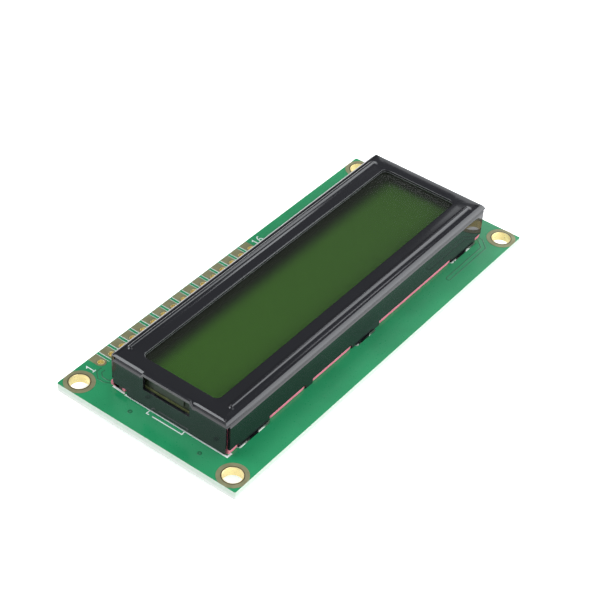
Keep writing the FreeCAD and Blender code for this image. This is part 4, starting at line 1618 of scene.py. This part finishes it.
    def _fold(self, bm: Net, side: Side) -> None:
        """Adds the plate, bend and wall of one side as a closed skin.

        Args:
            bm: receives the skin.
            side: the side.
        """
        stations = self._stations(side)
        columns = []
        for along in stations:
            outer, inner = self._column(side, along)
            columns.append(([bm.verts.new(p) for p in outer], [bm.verts.new(p) for p in inner]))
        rows = len(columns[0][0])
        lip_rows = rows - len(self.bend_levels) - len(self.wall_levels)
        levels = [self.top] * lip_rows + self.bend_levels + self.wall_levels

        def there(column: int, row: int) -> bool:
            """Tells whether a cell of the skin is metal.

            Args:
                column: place of the cell along the side.
                row: its place down the sheet.

            Returns:
                Whether it is metal, which it also is in the sides that join this one.
            """
            if not 0 <= row < rows - 1:
                return False
            if not 0 <= column < len(stations) - 1:
                return True
            start, end = stations[column], stations[column + 1]
            return self._present(side, start, end, levels[row], levels[row + 1])

        def quad(*corners: Vert) -> None:
            """Adds a face unless its corners coincide.

            Args:
                corners: its corners in order.
            """
            places = [tuple(round(c, 5) for c in v.co) for v in corners]
            if len(set(places)) >= 3:
                bm.faces.new(corners)

        for c in range(len(stations) - 1):
            (o0, i0), (o1, i1) = columns[c], columns[c + 1]
            for r in range(rows - 1):
                if not there(c, r):
                    continue
                quad(o0[r], o1[r], o1[r + 1], o0[r + 1])
                quad(i0[r + 1], i1[r + 1], i1[r], i0[r])
                if not there(c, r - 1):
                    quad(o0[r], i0[r], i1[r], o1[r])
                if not there(c, r + 1):
                    quad(o1[r + 1], i1[r + 1], i0[r + 1], o0[r + 1])
                if not there(c - 1, r):
                    quad(o0[r + 1], i0[r + 1], i0[r], o0[r])
                if not there(c + 1, r):
                    quad(o1[r], i1[r], i1[r + 1], o1[r + 1])

    def _bead(self, bm: Net, y: float) -> None:
        """Adds one pressed bead, with a wide foot at its front and a short one behind.

        Args:
            bm: receives the bead.
            y: place of its middle line.
        """
        half = self.bead_length / 2 - self.bead_width / 2
        front, back = self.bead_feet
        spokes = []
        for x, start in ((half, -90), (-half, 90)):
            for n in range(13):
                turn = math.radians(start + 15 * n)
                foot = front + (back - front) * (1 + math.sin(turn)) / 2
                spoke = []
                for reach, rise in self._bead_section(foot):
                    out = y + reach * math.sin(turn)
                    level = self._plate_level(out) + rise
                    spoke.append(bm.verts.new((x + reach * math.cos(turn), out, level)))
                spokes.append(spoke)
        Maker.bridge(bm, spokes, ring=True, loop=False)
        bm.faces.new([spoke[0] for spoke in spokes])

    def _bead_section(self, foot: float) -> list[Point]:
        """Works out one flank of a bead, from its crest down.

        Args:
            foot: radius of the hollow at its foot.

        Returns:
            Distance from the bead's middle line and height over the plate.
        """
        crest = self.bead_crest
        steepest = math.acos(1 - self.bead_height / (crest + foot))
        reach = (crest + foot) * math.sin(steepest)
        section = []
        for n in range(1, 7):
            turn = steepest * n / 6
            fall = crest * (1 - math.cos(turn))
            section.append((crest * math.sin(turn), self.bead_height - fall))
        for n in range(9, -1, -1):
            turn = steepest * n / 10
            rise = foot * (1 - math.cos(turn)) + self.bead_lift
            section.append((reach - foot * math.sin(turn), rise))
        return section

    def _plate_level(self, y: float) -> float:
        """Level of the plate, or of the bend beyond it."""
        past = max(0.0, abs(y) - (self.half_y - self.side_bend))
        return self.top - self.side_bend + math.sqrt(self.side_bend**2 - past**2)

    def _tabs(self, bm: Net) -> None:
        """Adds the tabs, straight through the board and twisted under it.

        Args:
            bm: receives the tabs.
        """
        wide, thick = self.tab_width / 2, self.sheet / 2
        corners = [(-wide, -thick), (wide, -thick), (wide, thick), (-wide, thick)]
        for side in (-1, 1):
            y = side * (self.half_y - thick)
            for n in (-1, 0, 1):
                x = self.foot_shift + n * self.foot_spacing
                rows = []
                for level, twist in self._tab_levels():
                    turn = Matrix.Rotation(math.radians(side * twist), 2)
                    spots = [turn @ Vector(corner) for corner in corners]
                    rows.append([bm.verts.new((x + p.x, y + p.y, level)) for p in spots])
                Maker.rod(bm, rows)

    def _tab_levels(self) -> list[Point]:
        """Lists the rows of points down a tab.

        Returns:
            Level and twist of each row.
        """
        rows = [(self.floor + self.tab_bite, 0.0), (self.board_low, 0.0)]
        for n in range(1, 5):
            rows.append((self.board_low - self.tab_step * n, self.tab_twist * n / 4))
        rows.append((self.tip, self.tab_twist))
        return rows


# Glass, connectors and backlight


@dataclass
class Display:
    """The cell behind the window, its connectors and its backlight."""

    finishes: Finishes
    bezel: Bezel
    field_depth: float = 1.75
    squeeze_gap: float = 0.1
    strip_width: float = 2.6
    pane_border: float = 1.2
    pane_corner: float = 0.1
    film: float = 0.05
    field_margin: float = 0.4
    rim_step: float = 0.4
    rim_round: float = 0.1
    rim_ripple: float = 0.012
    rim_turn: float = 1.9
    rim_end: float = 0.12
    rim_taper: float = 1.5

    def build(self) -> None:
        """Makes the pieces that show and dresses those that stay as they are."""
        self._cell()
        for side in (-1, 1):
            self._connector(side)
        dressed = {
            "rear_polariser": self.finishes.film,
            "perimeter_seal": self.finishes.shaded_resin,
            "fill_port_plug": self.finishes.shaded_resin,
            "backlight_tray": self.finishes.white,
            "diffuser_sheet": self.finishes.milky,
            "light_guide": self.finishes.acrylic,
            "reflector_film": self.finishes.white,
            "led_board": self.finishes.edge,
            "backlight_leds": self.finishes.lamp,
            "backlight_terminals": self.finishes.tin,
        }
        for node, finish in dressed.items():
            dress(node, finish)

    def _cell(self) -> None:
        """Panes whose edges show, the film in the window and the green layer below it."""
        for node in ("front_glass", "rear_glass"):
            low, high = box_mm(node)
            middle, size = middle_mm(node), high - low
            outlines = [
                rounded(middle.x, middle.y, size.x - cut, size.y - cut, self.pane_corner)
                for cut in (0.0, 2 * self.pane_border)
            ]
            bm = bmesh.new()
            Maker.plate(bm, outlines, low.z, high.z)
            pane = Maker.piece(f"{node}_pane", bm, (self.finishes.pane,), round_mm=0.05)
            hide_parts(node)
        low, high = box_mm("front_polariser")
        bm = bmesh.new()
        Maker.brick(bm, (low.x, low.y, high.z - self.film), high)
        film = Maker.piece("window_film", bm, (self.finishes.film,), round_mm=0.01)
        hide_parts("front_polariser")
        level, inset = high.z - self.field_depth, self.field_margin
        bm = bmesh.new()
        Maker.brick(bm, (low.x, low.y + inset, level - self.film), (high.x, high.y - inset, level))
        field = Maker.piece("display_layer", bm, (self.finishes.field,), round_mm=0.01)
        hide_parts("liquid_crystal")

    def _connector(self, side: int) -> None:
        """One elastomer bar, squeezed out into soft rims under the skirt between the feet.

        Args:
            side: -1 for the front one, 1 for the back one.
        """
        node = "zebra_strip_front" if side < 0 else "zebra_strip_back"
        low, high = box_mm(node)
        near, far = (high.y, low.y) if side < 0 else (low.y, high.y)
        outer = near + side * self.strip_width
        bm = bmesh.new()
        bar_low = (low.x, min(near, outer), low.z)
        bar_high = (high.x, max(near, outer), high.z)
        Maker.brick(bm, bar_low, bar_high)
        finish = Silicone((near + outer) / 2, self.strip_width * 0.5).build()
        bar = Maker.piece(f"{node}_bar", bm, (finish,), round_mm=0.12, round_steps=3)
        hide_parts(node)
        feet = self.bezel.feet()
        middle = self.bezel.middle[0]
        inside = self.bezel.half_x - self.bezel.sheet
        starts = [-inside] + [right for left, right in feet]
        ends = [left for left, right in feet] + [inside]
        rims = bmesh.new()
        crest = self.bezel.skirt_gap - self.squeeze_gap
        for start, end in zip(starts, ends):
            span = (middle + start + self.squeeze_gap, middle + end - self.squeeze_gap)
            self._rim(rims, span, (near + outer) / 2, far, (low.z, low.z + crest))
        bmesh.ops.recalc_face_normals(rims, faces=rims.faces)
        rim = Maker.piece(f"{node}_rims", rims, (finish,), 50.0)

    def _rim(self, bm: Net, span: Point, inner: float, outer: float, levels: Point) -> None:
        """Adds one bulging rim along the skirt.

        Args:
            bm: receives the rim.
            span: where it starts and ends along X.
            inner: where it leaves the bar.
            outer: how far out its bulge reaches.
            levels: level of its foot and of its top.
        """
        way = math.copysign(1.0, outer - inner)
        foot, crest = levels
        steps = max(6, int((span[1] - span[0]) / self.rim_step))
        rows = []
        for n in range(steps + 1):
            x = span[0] + (span[1] - span[0]) * n / steps
            ends = min(1.0, min(n, steps - n) / self.rim_taper)
            ripple = self.rim_ripple * (1 + math.sin(self.rim_turn * x)) * ends
            ripple += self.rim_end * (1 - ends)
            section = [(inner, foot)]
            for k in range(7):
                turn = -math.pi / 2 + math.pi * k / 6
                bulge = outer - way * (ripple + self.rim_round * (1 - math.cos(turn)))
                height = (foot + crest) / 2 + (crest - foot) / 2 * math.sin(turn)
                section.append((bulge, height))
            section.append((inner, crest))
            rows.append([bm.verts.new((x, y, z)) for y, z in section])
        Maker.rod(bm, rows)


def dress(node: str, finish: Material) -> None:
    """Gives a CAD node its finish.

    Args:
        node: name of the node.
        finish: the material for all of it.
    """
    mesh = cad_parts[node].data
    mesh.materials.clear()
    mesh.materials.append(finish)


# Parts on the underside


@dataclass
class Underside:
    """Covered chips, small chips and solder below the board."""

    finishes: Finishes
    cap_length: float = 0.38
    cap_proud: float = 0.03
    resin_power: float = 0.55
    # Number, depth and drift of the lobes round the resin's edge
    resin_lobes: tuple[tuple[int, float, float], ...] = ((3, 0.012, 1.0), (5, 0.006, 0.0))
    joint_overlap: float = 0.05

    def build(self) -> None:
        """Makes every piece on the underside."""
        for name in ("controller", "driver"):
            self._cover(name)
            dress(f"{name}_die", self.finishes.silicon)
        chips = {
            **{f"ladder_resistor_{n}": self.finishes.glaze for n in range(1, 6)},
            "oscillator_resistor": self.finishes.glaze,
            "backlight_resistor_1": self.finishes.glaze,
            "backlight_resistor_2": self.finishes.glaze,
            "supply_capacitor": self.finishes.tan,
        }
        for node, top in chips.items():
            self._chip(node, top)
        self._terminal_joints()
        dress("chip_solder_joints", self.finishes.solder)

    def _cover(self, name: str) -> None:
        """A poured drop of resin with an uneven, rounded skin.

        Args:
            name: the chip that it covers.
        """
        low, high = box_mm(f"{name}_cover")
        centre = middle_mm(f"{name}_cover").xy
        radius, height = (high.x - low.x) / 2, high.z - low.z
        profile = [(radius, high.z)]
        for n in range(1, 16):
            turn = math.pi / 2 * n / 16
            reach = radius * math.cos(turn) ** self.resin_power
            profile.append((reach, high.z - height * math.sin(turn)))
        bm = bmesh.new()
        Maker.rod(bm, Maker.turned(bm, centre, profile, 64))
        bmesh.ops.recalc_face_normals(bm, faces=bm.faces)
        for vert in bm.verts:
            away = vert.co.xy - centre
            turn = math.atan2(away.y, away.x)
            shrink = 1.0
            for lobes, depth, drift in self.resin_lobes:
                shrink -= depth * (1 + math.sin(lobes * turn + drift * centre.x))
            vert.co.xy = centre + away * shrink
        cover = Maker.piece(f"{name}_resin", bm, (self.finishes.resin,), 70.0)
        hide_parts(f"{name}_cover")

    def _chip(self, node: str, top: Material) -> None:
        """A ceramic chip with a glazed face and two metal ends.

        Args:
            node: the CAD node that it replaces.
            top: finish of its outer face.
        """
        low, high = box_mm(node)
        size = high - low
        along = 0 if size.x > size.y else 1
        bm = bmesh.new()
        start, stop = low + Vector((0, 0, self.cap_proud)), high.copy()
        start[along] += self.cap_length / 2
        stop[along] -= self.cap_length / 2
        Maker.brick(bm, start, stop)
        body_faces = len(bm.faces)
        for end in (-1, 1):
            a, b = low.copy(), high.copy()
            if end < 0:
                b[along] = low[along] + self.cap_length
            else:
                a[along] = high[along] - self.cap_length
            Maker.brick(bm, a, b)
        bm.faces.ensure_lookup_table()
        for n, face in enumerate(bm.faces):
            body = 0 if face.normal.z < -0.5 else 1
            face.material_index = body if n < body_faces else 2
        finishes = (top, self.finishes.ceramic, self.finishes.tin)
        chip = Maker.piece(f"{node}_chip", bm, finishes, round_mm=0.04)
        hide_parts(node)
        slot = "capacitor_body" if node == "supply_capacitor" else "chip_body"

    def _terminal_joints(self) -> None:
        """Concave cones of solder round the two leads."""
        low, high = box_mm("terminal_solder_joints")
        x = middle_mm("terminal_solder_joints").x
        radius = high.x - x
        hole = box_mm("backlight_terminals")[1].x - middle_mm("backlight_terminals").x
        inside = hole - self.joint_overlap
        bm = bmesh.new()
        for y in (low.y + radius, high.y - radius):
            profile = []
            for n in range(9):
                share = n / 8
                r = hole + (radius - hole) * (1 - share) ** 2
                profile.append((r, high.z + (low.z - high.z) * share))
            profile += [(inside, low.z), (inside, high.z)]
            Maker.bridge(bm, Maker.turned(bm, (x, y), profile, 32), ring=True)
        bmesh.ops.recalc_face_normals(bm, faces=bm.faces)
        joints = Maker.piece("terminal_joints", bm, (self.finishes.solder,), 50.0)
        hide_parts("terminal_solder_joints")


# Studio


@dataclass(frozen=True)
class Softbox:
    """One rectangular studio light."""

    name: str
    azimuth: float
    elevation: float
    distance_mm: float
    width_mm: float
    height_mm: float
    strength: float
    tint: Colour = (0.94, 0.97, 1.0)

    def build(self, target: Vector) -> None:
        """Puts the light up, facing the module.

        Args:
            target: the point it faces, in metres.
        """
        a, e = math.radians(self.azimuth), math.radians(self.elevation)
        way = Vector((math.cos(a) * math.cos(e), math.sin(a) * math.cos(e), math.sin(e)))
        data = bpy.data.lights.new(self.name, "AREA")
        data.shape = "RECTANGLE"
        data.size, data.size_y = self.width_mm * MM, self.height_mm * MM
        area = data.size * data.size_y
        data.energy = self.strength * area * math.pi
        data.color = self.tint
        lamp = bpy.data.objects.new(self.name, data)
        lamp.location = target + way * self.distance_mm * MM
        lamp.rotation_mode = "QUATERNION"
        lamp.rotation_quaternion = (-way).to_track_quat("-Z", "Y")
        bpy.context.scene.collection.objects.link(lamp)


@dataclass
class Studio:
    """Pale floor, soft light and the camera at the photo's angle."""

    azimuth: float = -55.171
    elevation: float = 40.606
    roll: float = 3.996
    distance: float = 277.854
    focal_px: float = 1659.561
    picture_px: float = 600.0
    target: Point = (0.861, 1.255)
    # Elevations between which the studio dims towards its ceiling
    ceiling: Point = (12.0, 40.0)
    ceiling_level: float = 0.24
    dark_azimuth: float = 48.0
    # Angles from the dark direction at which the dark starts and is complete
    dark_reach: Point = (42.0, 24.0)
    dark_level: float = 0.15
    horizon: Colour = (0.97, 0.98, 1.0)
    lamp_target: float = 6.0
    table_radius: float = 4000.0
    table_top: float = -0.02
    table_thick: float = 0.98
    table_cloud: float = 80.0
    table_rough: float = 0.6
    paper: tuple[Colour, Colour] = ((0.86, 0.86, 0.86), (0.84, 0.84, 0.84))
    paper_seen: Colour = (0.96, 0.96, 0.96)
    paper_glow: Colour = (0.75, 0.75, 0.75)
    sensor_mm: float = 36.0
    clip: Point = (0.01, 50.0)

    def build(self) -> None:
        """Makes the floor, the world, the lights and the camera."""
        self._floor()
        self._world()
        centre = Vector((0, 0, self.lamp_target * MM))
        for lamp in (
            Softbox("right", 6, 19, 420, 315, 260, 1.4),
            Softbox("right_top", 5, 51, 420, 180, 60, 4.2),
            Softbox("front_right", -42, 20, 420, 270, 300, 3.0),
            Softbox("front_left", -100, 40, 460, 340, 260, 2.6),
            Softbox("back_left", 128, 48, 420, 270, 220, 4.9),
            Softbox("overhead", -80, 78, 460, 240, 240, 1.0),
        ):
            lamp.build(centre)
        self._camera()
        scene = bpy.context.scene
        scene.view_settings.view_transform = "Standard"

    def _floor(self) -> None:
        """A wide pale table that shows white to the camera but keeps the shadow."""
        bm = bmesh.new()
        outline = circle(0, 0, self.table_radius, 64)
        Maker.plate(bm, [outline], self.table_top - self.table_thick, self.table_top)
        tree = Tree("pale_table")
        cloud = tree.noise(self.table_cloud)
        rays = ("Is Camera Ray", "Is Glossy Ray", "Is Transmission Ray")
        camera, glossy, through = (tree.add("ShaderNodeLightPath", output=ray) for ray in rays)
        seen = (camera + glossy + through).clamp()
        paper = tree.blend(cloud, *self.paper)
        finish = tree.finish(
            Base_Color=tree.blend(seen, paper, self.paper_seen),
            Roughness=self.table_rough,
            Emission_Color=tree.blend(seen, (0.0, 0.0, 0.0), self.paper_glow),
            Emission_Strength=1.0,
        )
        floor = Maker.mesh("table", bm, (finish,))

    def _world(self) -> None:
        """A studio that is white round its horizon, dimmer overhead and dark at the back."""
        tree = Tree("studio", world=True)
        direction = tree.add("ShaderNodeTexCoord", output="Generated")
        x, y, z = (
            tree.add("ShaderNodeSeparateXYZ", sockets={0: direction}, output=n) for n in range(3)
        )
        low, high = (math.sin(math.radians(e)) for e in self.ceiling)
        strength = 1.0 - z.step(low, high) * (1.0 - self.ceiling_level)
        turn = math.radians(self.dark_azimuth)
        towards = x * math.cos(turn) + y * math.sin(turn)
        wide, narrow = (math.cos(math.radians(a)) for a in self.dark_reach)
        strength = strength * (1.0 - towards.step(wide, narrow) * (1.0 - self.dark_level))
        light = {"Color": self.horizon, "Strength": strength}
        glow = tree.add("ShaderNodeBackground", sockets=light)
        end = tree.nodes.new("ShaderNodeOutputWorld")
        tree.feed(end.inputs["Surface"], glow)
        bpy.context.scene.world = tree.owner

    def _camera(self) -> None:
        """Stands the camera where the photo was taken from."""
        a, e, r = (math.radians(v) for v in (self.azimuth, self.elevation, self.roll))
        back = Vector((math.sin(a) * math.cos(e), -math.cos(a) * math.cos(e), math.sin(e)))
        right = Vector((0, 0, 1)).cross(back).normalized()
        up = back.cross(right)
        across = right * math.cos(r) + up * math.sin(r)
        above = up * math.cos(r) - right * math.sin(r)
        level = board_faces()[1]
        data = bpy.data.cameras.new("camera")
        data.sensor_width = self.sensor_mm
        data.lens = data.sensor_width * self.focal_px / self.picture_px
        data.clip_start, data.clip_end = self.clip
        camera = bpy.data.objects.new("camera", data)
        place = Vector((*self.target, level)) + back * self.distance
        turn = Matrix((across, above, back)).transposed()
        camera.matrix_world = Matrix.Translation(place * MM) @ turn.to_4x4()
        bpy.context.scene.collection.objects.link(camera)
        bpy.context.scene.camera = camera


def main() -> None:
    """Builds the module's looks, then the studio, and notes the sizes."""
    logging.basicConfig(level=logging.INFO, format="%(name)s %(message)s")
    finishes = Finishes()
    Board(finishes).build()
    bezel = Bezel(finishes)
    bezel.build()
    Display(finishes, bezel).build()
    Underside(finishes).build()
    Studio().build()


if __name__ == "__main__":
    main()
